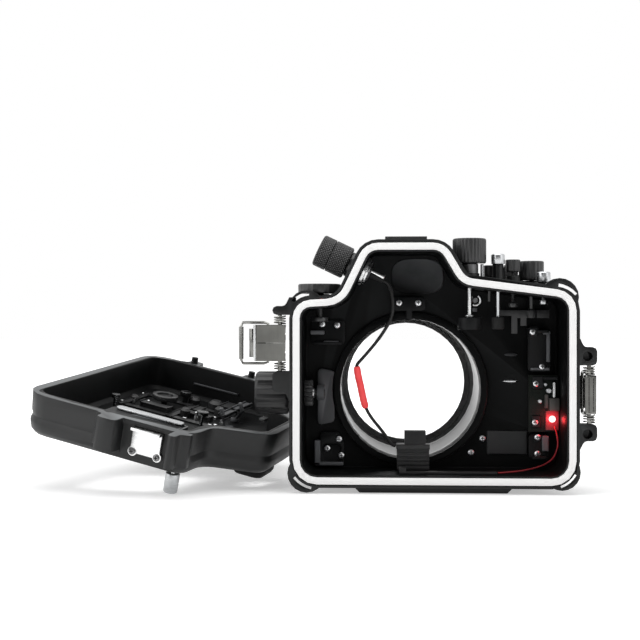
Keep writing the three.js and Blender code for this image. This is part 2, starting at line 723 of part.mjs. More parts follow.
// The same number of points on a hexagon as on the round washer beside it
function hexagon(radius, pointsEach) {
  const sixth = Math.PI / 3;
  return Array.from({ length: 6 * pointsEach }, (_, k) => {
    const angle = (sixth * k) / pointsEach;
    const reach = (radius * Math.cos(sixth / 2)) / Math.cos((angle % sixth) - sixth / 2);
    return new THREE.Vector2(reach * Math.cos(angle), reach * Math.sin(angle));
  });
}

function syncNut() {
  const s = sync;
  const start = -body.wall - s.nutThickness;
  const hex = hexagon(s.nutAcross, 3);
  const round = fluted(s.washerRadius, 0, 6, 3);
  const rings = [
    [start - s.washerThickness, round], [start, round], [start, hex], [-body.wall - seatFit, hex],
  ].map(([y, points]) => ({ y, points }));
  const turn = new THREE.Quaternion().setFromUnitVectors(UP, slope.outward);
  const nut = loft(rings, (p, t) => at(p.x, p.y, t).applyQuaternion(turn).add(slope.seat).toArray());
  const bore = rod(
    onSlope(start - s.washerThickness - overrun), onSlope(-body.wall + overrun),
    s.threadRadius + seatFit, 16);
  return cut(nut, bore);
}

function syncCap() {
  const s = sync;
  const start = s.bodyLength + s.capGap;
  const grip = fluted(s.capRadius, s.capFluteDepth, s.capFlutes, 2);
  const plain = fluted(s.capRadius - s.capStepDepth, 0, s.capFlutes, 2);
  const step = s.capLength - s.capStep;
  const rings = [
    [0, plain], [s.capChamfer, grip], [step, grip], [step, plain], [step + s.capStepWidth, plain],
    [step + s.capStepWidth, grip], [s.capLength - s.capChamfer, grip], [s.capLength, plain],
  ].map(([y, points]) => ({ y, points }));
  const turn = new THREE.Quaternion().setFromUnitVectors(UP, slope.outward);
  const knob = loft(rings, (p, t) => at(p.x, p.y, t).applyQuaternion(turn).add(onSlope(start)).toArray());
  const bore = rod(
    onSlope(start - overrun), onSlope(s.threadReach + runningFit), s.threadRadius + s.threadGap, 12);
  return cut(knob, bore);
}

// The sync cord, its splice and the hot-shoe plug
const plug = {
  x: -13.1, y0: 3, y1: 13.6, z0: 12.8, bodyTop: 27.6, bodyHalf: 11.4, shoulderTop: 31, shoulderHalf: 11.8,
  topHeight: 9.4, topHalf: 7.5, topSetback: 1.5, groove: 1, grooves: 4, grooveDepth: 0.5,
};
const cord = { sides: 8, steps: 26 };
const cordUpperRoute = [
  [-33.8, -4, 146.5], [-32.4, -4, 145.8], [-30.3, -4.1, 143.5], [-28.6, -4.3, 139.2], [-27.5, -4.2, 131.7],
  [-27.7, -4, 124.7],
  [-29.5, -3.8, 118.6], [-33.7, -3.4, 111.3], [-38.8, -3, 104], [-44.9, -2.4, 96.6], [-50.2, -2, 90.6],
  [-52.3, -1.9, 88.2], [-52.8, -1.8, 86.8],
];
const sleeve = { radius: 2.2, sides: 10, steps: 8 };
const sleeveRoute = [
  [-52.85, -1.7, 86.3], [-51.9, -1, 80], [-50, 0, 71.5], [-48, 1.2, 62], [-46.5, 2, 57],
];
const cordLowerRoute = [
  [-46.3, 2.1, 56.7], [-44.4, 2.8, 52.8], [-41, 3.8, 47.8], [-36.5, 5, 42.2],
  [-32.6, 6.3, 37], [-29.8, 7.6, 32.4], [-27.6, 8.2, 30.1], [-25.5, 8.3, 29.5],
];
const routeCurve = (route) => new THREE.CatmullRomCurve3(route.map(([x, y, z]) => at(x, y, z)));
const syncCord = (route, steps) => swept(routeCurve(route), sync.cordRadius, cord.sides, steps);

function cordBoot() {
  const s = sync;
  const start = -body.wall - s.nutThickness - s.washerThickness - s.tail - seatFit;
  return rod(onSlope(start), onSlope(start - s.bootLength), s.bootRadius, 12, s.bootEnd);
}

function hotShoePlug() {
  const p = plug;
  const main = box(p.x - p.bodyHalf, p.x + p.bodyHalf, p.y0, p.y1, p.z0, p.bodyTop);
  const shoulder = box(
    p.x - p.shoulderHalf, p.x + p.shoulderHalf, p.y0 - p.groove, p.y1, p.bodyTop, p.shoulderTop);
  const neck = p.x + p.topSetback;
  const top = box(
    neck - p.topHalf, neck + p.topHalf, p.y0 + p.groove, p.y1 - p.groove, p.shoulderTop,
    p.shoulderTop + p.topHeight);
  const pitch = (p.bodyTop - p.z0) / (p.grooves + 1);
  const grooves = Array.from({ length: p.grooves }, (_, k) => box(
    p.x - p.bodyHalf - overrun, p.x + p.bodyHalf + overrun, p.y0 - overrun, p.y0 + p.grooveDepth,
    p.z0 + pitch * (k + 1) - p.groove / 2, p.z0 + pitch * (k + 1) + p.groove / 2));
  return cut(join(main, shoulder, top), ...grooves);
}

// The leak alarm: a board on posts, a lamp, a battery and a sensor on the floor with its lead
const lamp = { fromEdge: 4.8, up: 9.2, radius: 2.4, height: 3.4 };
lamp.x = board.right - lamp.fromEdge;
lamp.z = board.bottom + lamp.up;
const battery = { fromEdge: 0.6, width: 6.8, up: 15.6, length: 8.6, height: 7 };
battery.right = board.right - battery.fromEdge;
battery.left = battery.right - battery.width;
battery.bottom = board.bottom + battery.up;
battery.top = battery.bottom + battery.length;
const boardBack = frontInside - board.stand - seatFit;
const boardFace = boardBack - board.thickness;
function alarmBoard() {
  return box(board.left, board.right, boardFace, boardBack, board.bottom, board.top);
}

function alarmLamp() {
  const r = lamp.radius;
  return turned([
    [0, 0], [r, 0], [r, lamp.height - r], [r * Math.SQRT1_2, lamp.height - r * (1 - Math.SQRT1_2)],
    [0, lamp.height],
  ], at(lamp.x, boardFace, lamp.z), BACK, 12);
}

function alarmBattery() {
  return box(battery.left, battery.right, boardFace - battery.height, boardFace, battery.bottom, battery.top);
}

const sensor = {
  left: -19.3, fromRight: 54.9, y0: -16, y1: -10, height: 1.6,
  headLeft: -23.4, headRight: -18.6, headHeight: 4.4,
};
sensor.right = outline.halfWidth - sensor.fromRight;
function leakSensor() {
  return join(
    box(sensor.left, sensor.right, sensor.y0, sensor.y1, floorZ, floorZ + sensor.height),
    box(sensor.headLeft, sensor.headRight, sensor.y0, sensor.y1, floorZ, floorZ + sensor.headHeight));
}

const lead = { radius: 0.6, sides: 8, steps: 24 };
// The lead's points: how far in from the outline's right side, then y and z
const leadRoute = [
  [12.3, 7.2, 43.4], [12.1, 5.4, 42.8], [11.1, 3.6, 38.6], [10.7, 1, 32], [12.5, -1.4, 26], [15.9, -4, 21.6],
  [21.9, -7, 18.2], [29.9, -9.6, 16], [38.4, -11.8, 14.6], [46.9, -12.8, 13.8], [51.5, -13, 13.4],
  [54, -13, 13.3],
].map(([inward, y, z]) => [outline.halfWidth - inward, y, z]);

// Plates and brackets on the inside of the front wall
const bracket = { thickness: 2, round: 2.4, steps: 2 };
const topBracket = {
  left: -27.1, right: -4.1, ringGap: 0.6, height: 10, lift: 6.4,
  stemLeft: -17.7, stemRight: -13.4, stemDrop: 6.2,
};
topBracket.bottom = port.z + port.lockRing + topBracket.ringGap;
topBracket.top = topBracket.bottom + topBracket.height;
topBracket.stemBottom = topBracket.bottom - topBracket.stemDrop;
// A plate's place by its distance from the outline's nearer side and from the foot or the shoulder
function placedPlate(plate) {
  const { fromLeft, fromRight, fromFoot, underShoulder: down, width, height } = plate;
  const left = fromRight === undefined
    ? -outline.halfWidth + fromLeft : outline.halfWidth - fromRight - width;
  const shoulder = fromRight === undefined ? outline.leftShoulder : outline.rightShoulder;
  const bottom = fromFoot === undefined ? shoulder - down - height : outline.bottom + fromFoot;
  return { ...plate, left, right: left + width, bottom, top: bottom + height };
}
const leftUpper = placedPlate({
  fromLeft: 12.9, width: 24.2, underShoulder: 15.6, height: 17.6, lift: 4, lip: 5,
});
const leftLower = placedPlate({
  fromLeft: 15.3, width: 21.2, fromFoot: 10.6, height: 18.4, lift: 6, arm: 6,
  neckIn: 4.2, neckWidth: 14, neckHeight: 5.6,
});
const rightUpper = placedPlate({
  fromRight: 14.5, width: 16, underShoulder: 28.3, height: 29.4, lift: 9, lip: 6,
});
const rightLower = placedPlate({
  fromRight: 15.1, width: 14.8, fromFoot: 16.6, height: 17, lift: 9, lip: 5,
});

// A plate lifted off the wall on a foot along one end, as pressed brackets are
function hatPlate({ left, right, bottom, top, lift }, footAt) {
  const round = bracket.round;
  const face = frontInside - lift;
  const plate = prism(rounded([
    [left, bottom, round], [right, bottom, round], [right, top, round], [left, top, round],
  ], bracket.steps), face, face + bracket.thickness);
  const feet = footAt.map(([x0, x1, z0, z1]) => box(x0, x1, face, frontInside, z0, z1));
  return join(plate, ...feet);
}

function bracketTop() {
  const b = topBracket;
  const web = (b.right - b.left) / 4;
  const plate = hatPlate(b, [
    [b.left + bracket.round, b.left + web, b.bottom + bracket.round, b.top - bracket.round],
    [b.right - web, b.right - bracket.round, b.bottom + bracket.round, b.top - bracket.round],
  ]);
  const face = frontInside - b.lift;
  const stem = box(
    b.stemLeft, b.stemRight, face, face + bracket.thickness, b.stemBottom, b.bottom + bracket.round);
  return join(plate, stem);
}

function bracketWithLip(b, lipHigh) {
  const t = bracket.thickness;
  const face = frontInside - b.lift;
  const edge = lipHigh ? b.top : b.bottom + t;
  const plate = hatPlate(b, [
    [b.left + bracket.round, b.right - bracket.round, b.bottom, b.bottom + t],
    [b.left + bracket.round, b.right - bracket.round, b.top - t, b.top],
  ]);
  const lip = box(b.left + bracket.round, b.right - bracket.round, face - b.lip, face + t, edge - t, edge);
  return join(plate, lip);
}

function bracketLeftLower() {
  const b = leftLower;
  const face = frontInside - b.lift;
  const t = bracket.thickness;
  const neckLeft = b.left + b.neckIn;
  const neckRight = neckLeft + b.neckWidth;
  const neckTop = b.top + b.neckHeight;
  const whole = prism(rounded([
    [b.left, b.bottom, bracket.round], [b.right, b.bottom, bracket.round], [b.right, b.top, bracket.round],
    [neckRight, b.top, 0], [neckRight, neckTop, bracket.round], [neckLeft, neckTop, bracket.round],
    [neckLeft, b.top, 0], [b.left, b.top, bracket.round],
  ], bracket.steps), face, frontInside);
  const window = box(
    b.left + b.arm, b.right + overrun, face + t, frontInside - t, b.bottom + b.arm, b.top - t);
  const pocket = prism(rounded([
    [b.left + b.arm, b.bottom + b.arm / 2, bracket.round], [b.right - t, b.bottom + b.arm / 2, bracket.round],
    [b.right - t, b.top - b.arm / 2, bracket.round], [b.left + b.arm, b.top - b.arm / 2, bracket.round],
  ], bracket.steps), face - overrun, face + t / 2);
  return cut(whole, window, pocket);
}

const zoomPlate = { fromLeft: 17.9, width: 12, below: 23.8, above: 17, face: 8, lugWidth: 5 };
zoomPlate.left = -outline.halfWidth + zoomPlate.fromLeft;
zoomPlate.right = zoomPlate.left + zoomPlate.width;
zoomPlate.bottom = zoom.z - zoomPlate.below;
zoomPlate.top = zoom.z + zoomPlate.above;
function zoomBracket() {
  const p = zoomPlate;
  const face = frontInside - p.face;
  const plate = prism(rounded([
    [p.left, p.bottom, bracket.round], [p.right, p.bottom + bracket.round, bracket.round],
    [p.right, p.top - bracket.round, bracket.round], [p.left, p.top, bracket.round],
  ], bracket.steps), face, frontInside);
  const radius = 2 * zoom.shaft;
  const bearing = rod(at(p.left, zoom.y, zoom.z), at(p.left + p.lugWidth, zoom.y, zoom.z), radius, 16);
  const web = box(
    p.left, p.left + p.lugWidth, zoom.y, face + p.face / 2, zoom.z - radius, zoom.z + radius);
  const hole = rod(
    at(p.left - overrun, zoom.y, zoom.z), at(p.left + p.lugWidth + overrun, zoom.y, zoom.z),
    zoom.shaft + runningFit, 10);
  const clearRing = rod(
    at(port.x, face - overrun, port.z), at(port.x, frontInside + overrun, port.z),
    port.lockRing + runningFit, port.sides);
  return cut(join(plate, bearing, web), hole, clearRing);
}

// Knobs and buttons of the front half
function dialKnob() {
  const knob = flutedKnob(dial, at(dial.x, dial.y, dial.base), UP, 2);
  const dish = rod(
    at(dial.x, dial.y, dial.base + dial.height - dial.fluteDepth),
    at(dial.x, dial.y, outline.top + dial.height),
    dial.radius - 3 * dial.chamfer, 20);
  const seat = rod(
    at(dial.x, dial.y, dial.base - overrun), at(dial.x, dial.y, dial.base + dial.height / 2),
    dial.shaft + seatFit, 10);
  return cut(knob, dish, seat);
}

function dialShaft() {
  const ball = new THREE.SphereGeometry(dial.ball, 10, 6);
  ball.translate(dial.x, dial.y, dial.shaftEnd);
  return join(
    rod(
      at(dial.x, dial.y, dial.shaftEnd), at(dial.x, dial.y, dial.base + dial.height / 2 - seatFit),
      dial.shaft, 10),
    solid(ball));
}

function dialCup() {
  const d = dial;
  const inner = d.cup - d.cupWall;
  const floor = d.cupHeight - d.cupRim;
  return turned([
    [0, 0], [d.cup, 0], [d.cup, d.cupHeight], [inner, d.cupHeight], [inner, floor], [0, floor],
  ], at(d.x, d.y, d.shaftEnd - d.ball - seatFit - floor), UP, 20);
}

// A push button: a hollow cap that slides down over its sleeve, on a rod through the wall
function silverButton(b) {
  const round = b.dish;
  const bore = b.sleeve + runningFit;
  const ceiling = b.sleeveTop + b.travel + runningFit - b.capBase;
  return turned([
    [0, b.rodEnd - b.capBase],
    [b.rod, b.rodEnd - b.capBase],
    [b.rod, ceiling],
    [bore, ceiling],
    [bore, 0],
    [b.capRadius, 0],
    [b.capRadius, b.capHeight - round],
    [b.capRadius - round, b.capHeight],
    [b.capRadius / 2, b.capHeight],
    [0, b.capHeight - round],
  ], at(b.x, b.y, b.capBase), UP, 14);
}

function buttonFoot() {
  const b = pushButton;
  const top = b.rodEnd - seatFit;
  const round = b.dish;
  return turned([
    [0, 0], [b.footRadius - round, 0], [b.footRadius, round], [b.footRadius, b.footHeight], [0, b.footHeight],
  ], at(b.x, b.y, top - b.footHeight), UP, 14);
}

function footedButton(b) {
  return join(silverButton(b), rod(
    at(b.x, b.y, b.rodEnd), at(b.x, b.y, b.rodEnd + b.footHeight), b.footRadius, 14));
}

function discPush() {
  const b = discButton;
  return join(
    flutedKnob(b, at(b.x, b.y, b.base), UP, 2),
    rod(at(b.x, b.y, b.rodEnd), at(b.x, b.y, b.base + b.chamfer), b.rod, 10),
    rod(at(b.x, b.y, b.rodEnd), at(b.x, b.y, b.rodEnd + b.footHeight), b.footRadius, 14));
}

function leverKnobPiece() {
  const k = leverKnob;
  return join(
    flutedKnob(k, at(k.x, k.y, k.base), UP, 2),
    rod(at(k.x, k.y, k.armTop + seatFit), at(k.x, k.y, k.base + k.chamfer), k.shaft, 10));
}

function leverArm() {
  const k = leverKnob;
  const z0 = k.armTop - k.armHeight;
  const half = k.armWidth / 2;
  const y0 = k.y - half;
  const thick = box(k.x - k.armStep, k.x + k.armRight, y0, k.y + half, z0, k.armTop);
  const thinBottom = k.armTop - k.armThin;
  const thin = box(k.x - k.armLeft, k.x, y0, k.y + half, thinBottom, k.armTop);
  const hub = rod(at(k.x, k.y, z0), at(k.x, k.y, k.armTop), k.hub, 16);
  const firstTab = k.x - k.armLeft + 2 * k.tabWidth;
  const secondTab = firstTab + k.tabWidth + k.tabGap;
  const tabs = [[firstTab, k.tabDrop], [secondTab, k.tabDrop / 2]].map(([x, tabDrop]) => box(
    x, x + k.tabWidth, y0, y0 + k.tabThickness, z0 - tabDrop, thinBottom + k.tabThickness));
  return join(thick, thin, hub, ...tabs);
}

function smallKnob() {
  const k = sideKnob;
  return join(
    flutedKnob(k, at(k.x, k.y, k.base), UP, 2),
    rod(at(k.x, k.y, k.shaftEnd), at(k.x, k.y, k.base + k.chamfer), k.shaft, 10));
}

function modeDialPiece() {
  const k = modeDial;
  return join(
    flutedKnob(k, at(k.x, k.y, k.base), UP, 2),
    rod(at(k.x, k.y, k.shaftEnd), at(k.x, k.y, k.base + k.chamfer), k.shaft, 10),
    rod(at(k.x, k.y, k.shaftEnd), at(k.x, k.y, k.shaftEnd + k.pinionHeight), k.pinionRadius, 16));
}

// The zoom knob with its shaft, and the gear on the shaft's inner end
const zoomKnobBase = -outline.halfWidth - zoom.gap;
const cavityLeft = -outline.halfWidth + cavityInset;
function zoomKnob() {
  const z = zoom;
  const knob = flutedKnob({
    radius: z.radius, height: z.length, flutes: z.flutes, fluteDepth: z.fluteDepth, chamfer: z.chamfer,
  }, at(zoomKnobBase, z.y, z.z), LEFT, 4);
  const shaft = rod(
    at(zoomKnobBase - z.chamfer, z.y, z.z),
    at(zoomPlate.left + zoomPlate.lugWidth + z.gearGap, z.y, z.z), z.shaft, 12);
  return join(knob, shaft);
}

function zoomGear() {
  const z = zoom;
  const teeth = fluted(z.gearRadius, z.gearDepth, z.gearTeeth, 3);
  const x0 = cavityLeft + z.gearGap;
  const wheel = loft(
    [{ y: x0, points: teeth }, { y: x0 + z.gearThickness, points: teeth }],
    (p, x) => [x, z.y + p.x, z.z + p.y]);
  return cut(wheel, rod(
    at(x0 - overrun, z.y, z.z), at(x0 + z.gearThickness + overrun, z.y, z.z), z.shaft + seatFit, 12));
}

// Latch pieces, built in the latch's own frame: u out along the lever, v across it, w up
function latchFrame(place, folded) {
  const { x, y } = pinAxis(place);
  const u = folded ? FORWARD.clone() : at(place.side, 0, 0);
  const v = folded ? at(place.side, 0, 0) : BACK.clone();
  const middle = (place.lowEarTop + place.highEarBottom) / 2;
  const frame = new THREE.Matrix4().makeBasis(u, v, UP);
  frame.setPosition(x, y, middle);
  return { frame, half: (place.highEarBottom - place.lowEarTop) / 2 };
}

function inFrame(manifold, { frame }) {
  const { vertProperties, triVerts } = manifold.getMesh();
  const geometry = new THREE.BufferGeometry();
  geometry.setAttribute('position', new THREE.Float32BufferAttribute(vertProperties, 3));
  geometry.setIndex(Array.from(triVerts));
  geometry.applyMatrix4(frame);
  return solid(geometry);
}

const coilLength = latch.coilPitch * latch.coilTurns + 2 * latch.coilWire;
function leverHalf(half) {
  return half - coilLength - 2 * seatFit;
}

function latchLever(place, folded) {
  const l = latch;
  const frame = latchFrame(place, folded);
  const w = leverHalf(frame.half);
  const back = -l.leverBack;
  const plate = box(back, l.leverLength, l.plateFace - l.plateThickness, l.plateFace, -w, w);
  const walls = [-w, w - l.sideWall].map((z) => {
    const eye = rod(at(0, 0, z), at(0, 0, z + l.sideWall), l.eyeRadius, 14);
    const arm = box(0, l.bailPivot + l.eyeRadius, -l.eyeRadius / 2, l.plateFace, z, z + l.sideWall);
    const root = box(back, l.bailPivot, 0, l.plateFace, z, z + l.sideWall);
    return join(eye, arm, root);
  });
  const roll = rod(
    at(l.leverLength + l.rollRadius / 2, l.plateFace - l.rollRadius, -w + l.rollRadius),
    at(l.leverLength + l.rollRadius / 2, l.plateFace - l.rollRadius, w - l.rollRadius), l.rollRadius, 12);
  const whole = join(plate, ...walls, roll);
  const pinHole = rod(at(0, 0, -w - overrun), at(0, 0, w + overrun), l.pinRadius + runningFit, 10);
  const bailHole = rod(
    at(l.bailPivot, 0, -w - overrun), at(l.bailPivot, 0, w + overrun), l.wireRadius + runningFit, 10);
  const slits = [-w / 2, w / 2].map((z) => box(
    back - overrun, l.leverLength / 3, l.plateFace - l.plateThickness - overrun, l.plateFace + overrun,
    z - l.slit / 2, z + l.slit / 2));
  return inFrame(cut(whole, pinHole, bailHole, ...slits), frame);
}

function latchBail(place, folded) {
  const l = latch;
  const frame = latchFrame(place, folded);
  const w = leverHalf(frame.half);
  const out = w + l.bailGap + l.wireRadius;
  const end = l.bailPivot + l.bailReach;
  const inside = w - l.sideWall - l.bailGap;
  const bail = wire([
    at(l.bailPivot, 0, -inside), at(l.bailPivot, 0, -out), at(end, 0, -out), at(end, 0, out),
    at(l.bailPivot, 0, out), at(l.bailPivot, 0, inside),
  ], l.wireRadius, Math.min(l.wireBend, (out - inside) / 2), 6, 24);
  const bar = rod(at(end, 0, -out + l.wireBend), at(end, 0, out - l.wireBend), l.barRadius, 10);
  return inFrame(join(bail, bar), frame);
}

// The latch pin, with the spring coil that is wound on each of its ends
function latchPin(place) {
  const l = latch;
  const { x, y } = pinAxis(place);
  const pin = rod(
    at(x, y, place.lowEarTop - l.pinSeat), at(x, y, place.highEarBottom + l.pinSeat), l.pinRadius, 10);
  const meanRadius = l.coilRadius - l.coilWire;
  const coil = (z0) => {
    const points = [];
    const steps = coilStepsEach * l.coilTurns;
    for (let k = 0; k <= steps; k += 1) {
      const angle = (2 * Math.PI * k) / coilStepsEach;
      points.push(at(
        x + meanRadius * Math.cos(angle), y + meanRadius * Math.sin(angle),
        z0 + l.coilWire + (l.coilPitch * k) / coilStepsEach));
    }
    coilGaps.push(leastSelfGap(points, l.coilWire));
    const leg = rod(at(x, y, points[0].z), points[0], l.coilWire, 5);
    return join(swept(new THREE.CatmullRomCurve3(points), l.coilWire, 5, steps), leg);
  };
  const ends = [place.lowEarTop + seatFit, place.highEarBottom - seatFit - coilLength];
  return join(pin, ...ends.map(coil));
}

// The least clear space between one coil of a spring and the next, measured on its points
const coilStepsEach = 8;
const coilGaps = [];
function leastSelfGap(points, wireRadius) {
  let least = Infinity;
  points.forEach((a, i) => points.slice(i + coilStepsEach / 2).forEach((b) => {
    least = Math.min(least, a.distanceTo(b) - 2 * wireRadius);
  }));
  return least;
}

// The rear cover, in the place it has when it closes the front half: y is 0 at its rim and runs back to less
const rear = {
  depth: 31, rimInset: 7, wallInset: 7, floor: 4.5, edgeRound: 9,
  waistY: -17, waistDepth: 1.4, waistHalf: 3.5, rimBand: 6, rimStep: 1,
  pocketIn: 2.5, pocketStart: 3.4, pocketEnd: 27, earEnd: 23,
};
const rearFloor = -rear.depth + rear.floor;

function rearOuter() {
  const r = rear;
  const rings = [
    { y: 0, points: housingOutline(0) },
    { y: -r.rimBand, points: housingOutline(r.rimStep / 2) },
    { y: r.waistY + r.waistHalf, points: housingOutline(r.rimStep) },
    { y: r.waistY, points: housingOutline(r.rimStep + r.waistDepth) },
    { y: r.waistY - r.waistHalf, points: housingOutline(r.rimStep) },
  ];
  const arc = 3;
  for (let k = 0; k <= arc; k += 1) {
    const angle = (Math.PI / 2) * (k / arc);
    rings.push({
      y: -r.depth + r.edgeRound * (1 - Math.sin(angle)),
      points: housingOutline(r.rimStep + r.edgeRound * (1 - Math.cos(angle))),
    });
  }
  return loft(rings);
}

const screen = {
  fromLeft: 22.9, right: -4, fromFoot: 38, fromTop: 68.3, corner: 4, glass: 3, bezel: 5, bezelHeight: 2.4,
};
screen.left = -outline.halfWidth + screen.fromLeft;
screen.bottom = outline.bottom + screen.fromFoot;
screen.top = outline.top - screen.fromTop;
const eye = { underTop: 20.3, holeHalfX: 13, holeHalfZ: 9, corner: 4, wall: 3, length: 6.9, glass: 2 };
eye.x = (outline.humpLeft + outline.humpRight) / 2;
eye.z = outline.top - eye.underTop;
const strip = { fromWall: 14.4, width: 7, belowEar: 3.5, underEar: 4.7, thickness: 1.4, round: 3.4 };
strip.left = -outline.halfWidth + strip.fromWall;
strip.right = strip.left + strip.width;
strip.bottom = latchLeft.lowEarBottom - strip.belowEar;
strip.top = latchLeft.highEarTop - strip.underEar;

function rectangle(left, right, bottom, top, round, steps = 3) {
  return rounded([
    [left, bottom, round], [right, bottom, round], [right, top, round], [left, top, round],
  ], steps);
}

// A control's place on the cover's flat back: its x, or its distance from the outline's left or right
// side, and its distance from the outline's foot or top
function placed({ x, fromLeft, fromRight, fromFoot, fromTop, ...control }) {
  let across = x;
  if (fromLeft !== undefined) across = -outline.halfWidth + fromLeft;
  if (fromRight !== undefined) across = outline.halfWidth - fromRight;
  const z = fromTop === undefined ? outline.bottom + fromFoot : outline.top - fromTop;
  return { ...control, x: across, z };
}

// Parts of the cover that turn or are pushed
const wheel = placed({
  fromRight: 53.7, fromFoot: 42.4, radius: 12, height: 7, flutes: 20, fluteDepth: 0.6, chamfer: 0.8,
  shaft: 2.5, gap: 0.5, innerRadius: 10.4, innerBore: 6.6, innerHeight: 4, reach: 9,
});
const rearButtons = [
  {
    name: 'cover_button_info', x: -8, fromFoot: 26,
    capRadius: 4.4, capOut: 4.6, rod: 1.3, reach: 15, pad: 3.2, padHeight: 3,
  },
  {
    name: 'cover_button_play', x: 6, fromTop: 77.3,
    capRadius: 4.4, capOut: 4.6, rod: 1.3, reach: 15, pad: 4.6, padHeight: 3,
  },
  {
    name: 'cover_button_set', fromRight: 30.9, fromFoot: 50,
    capRadius: 5, capOut: 4.6, rod: 2.4, reach: 10, pad: 4.6, padHeight: 4,
  },
  {
    name: 'cover_button_corner', fromLeft: 16.9, fromTop: 55.3,
    capRadius: 5, capOut: 13.7, rod: 1.5, reach: 8, pad: 2.4, padHeight: 2.4,
  },
].map(placed);
const buttonGap = 3;
const padRoom = 0.8;
const rearArms = [
  { name: 'cover_lever_record', fromRight: 72.9, fromTop: 62.3, bend: 12, lean: -5 },
  { name: 'cover_lever_focus', fromRight: 46.9, fromTop: 68.3, bend: 13, lean: 6 },
].map(placed);
const arm = { shaft: 2, capRadius: 6, capHeight: 5, capFlutes: 12, fluteDepth: 0.5, chamfer: 0.6, gap: 0.5,
  hub: 3.4, hubHeight: 3, width: 5, thickness: 1.8, foot: 6 };

function rearShell() {
  const r = rear;
  const s = strip;
  const parts = [
    rearOuter(),
    ears(latchLeft, -r.earEnd, 0),
    ears(latchRight, -r.earEnd, 0),
    ...pegs(),
    prism(rectangle(
      screen.left - screen.bezel, screen.right + screen.bezel,
      screen.bottom - screen.bezel, screen.top + screen.bezel, screen.corner + screen.bezel,
    ), -r.depth - screen.bezelHeight, -r.depth + r.floor),
  ];
  const hollow = loft([
    { y: overrun, points: housingOutline(r.wallInset) },
    { y: rearFloor + r.rimBand / 2, points: housingOutline(r.wallInset) },
    { y: rearFloor, points: housingOutline(r.wallInset + r.rimBand / 2) },
  ]);
  const pockets = [latchLeft, latchRight].map((place) => {
    const outerX = place.side * (outline.halfWidth + latch.reach);
    const innerX = place.side * (outline.halfWidth - r.pocketIn);
    return box(
      Math.min(outerX, innerX), Math.max(outerX, innerX), -r.pocketEnd, -r.pocketStart,
      place.lowEarTop, place.highEarBottom);
  });
  const stripWall = prism(
    rectangle(-outline.halfWidth + r.pocketIn, s.right, s.bottom, s.top, s.round),
    rearFloor - r.floor / 2, 0);
  const window = prism(
    rectangle(screen.left, screen.right, screen.bottom, screen.top, screen.corner),
    -r.depth - screen.bezelHeight - overrun, rearFloor + overrun);
  const eyeHole = prism(rectangle(
    eye.x - eye.holeHalfX, eye.x + eye.holeHalfX, eye.z - eye.holeHalfZ, eye.z + eye.holeHalfZ,
    eye.corner), -r.depth - overrun, rearFloor + overrun);
  const holes = [
    { x: wheel.x, z: wheel.z, radius: wheel.shaft },
    ...rearButtons.map(({ x, z, rod: radius }) => ({ x, z, radius })),
    ...rearArms.map(({ x, z }) => ({ x, z, radius: arm.shaft })),
  ].map(({ x, z, radius }) => rod(
    at(x, -r.depth - overrun, z), at(x, rearFloor + overrun, z), radius + runningFit, 10));
  const padHoles = rearButtons.map(({ x, z, pad }) => rod(
    at(x, rearFloor, z), at(x, overrun, z), pad + padRoom, 12));
  const hollowed = join(cut(join(...parts), hollow), stripWall);
  return cut(hollowed, ...pockets, window, eyeHole, ...holes, ...padHoles);
}

// The screen window: a stepped clear plate in the opening, flush with the bezel outside
function screenWindow() {
  const s = screen;
  return prism(
    rectangle(s.left + seatFit, s.right - seatFit, s.bottom + seatFit, s.top - seatFit, s.corner),
    -rear.depth - s.bezelHeight + seatFit, -rear.depth - s.bezelHeight + s.glass + seatFit);
}

function eyepiece() {
  const y0 = -rear.depth - eye.length;
  const y1 = -rear.depth - seatFit;
  const outer = (grow) => rectangle(
    eye.x - eye.holeHalfX - grow, eye.x + eye.holeHalfX + grow, eye.z - eye.holeHalfZ - grow,
    eye.z + eye.holeHalfZ + grow, eye.corner + grow);
  const tube = loft([
    { y: y0, points: outer(eye.wall / 2) },
    { y: y0 + eye.wall, points: outer(eye.wall) },
    { y: y1, points: outer(eye.wall) },
  ]);
  return cut(tube, prism(outer(0), y0 - overrun, y1 + overrun));
}

function eyepieceGlass() {
  const y1 = -rear.depth + rear.floor - seatFit;
  return prism(rectangle(
    eye.x - eye.holeHalfX + seatFit, eye.x + eye.holeHalfX - seatFit, eye.z - eye.holeHalfZ + seatFit,
    eye.z + eye.holeHalfZ - seatFit, eye.corner), y1 - eye.glass, y1);
}

// The catch that a bail hooks on: a plate on the pocket's floor with a turned-out lip
const catchPlate = {
  halfHeight: 11, lobe: 3.4, thickness: 2, lipOut: 6, lipY: -4, lipThick: 2, bodyY: -22, lobeY: -21,
};
function catchPiece(place) {
  const c = catchPlate;
  const wall = place.side * (outline.halfWidth - rear.pocketIn + seatFit);
  const middle = (place.lowEarTop + place.highEarBottom) / 2;
  const face = wall + place.side * c.thickness;
  const tip = wall + place.side * c.lipOut;
  const [x0, x1] = [Math.min(wall, face), Math.max(wall, face)];
  const body = box(x0, x1, c.bodyY, c.lipY, middle - c.halfHeight, middle + c.halfHeight);
  const lip = box(
    Math.min(wall, tip), Math.max(wall, tip), c.lipY - c.lipThick, c.lipY,
    middle - c.halfHeight, middle + c.halfHeight);
  const lobes = [-1, 1].map((end) => rod(
    at(x0, c.lobeY, middle + end * (c.halfHeight - c.lobe / 2)),
    at(x1, c.lobeY, middle + end * (c.halfHeight - c.lobe / 2)), c.lobe, 12));
  return join(body, lip, ...lobes);
}

function pocketStrip() {
  return prism(
    rectangle(strip.left, strip.right, strip.bottom + strip.round, strip.top - strip.round, strip.round),
    seatFit, seatFit + strip.thickness);
}

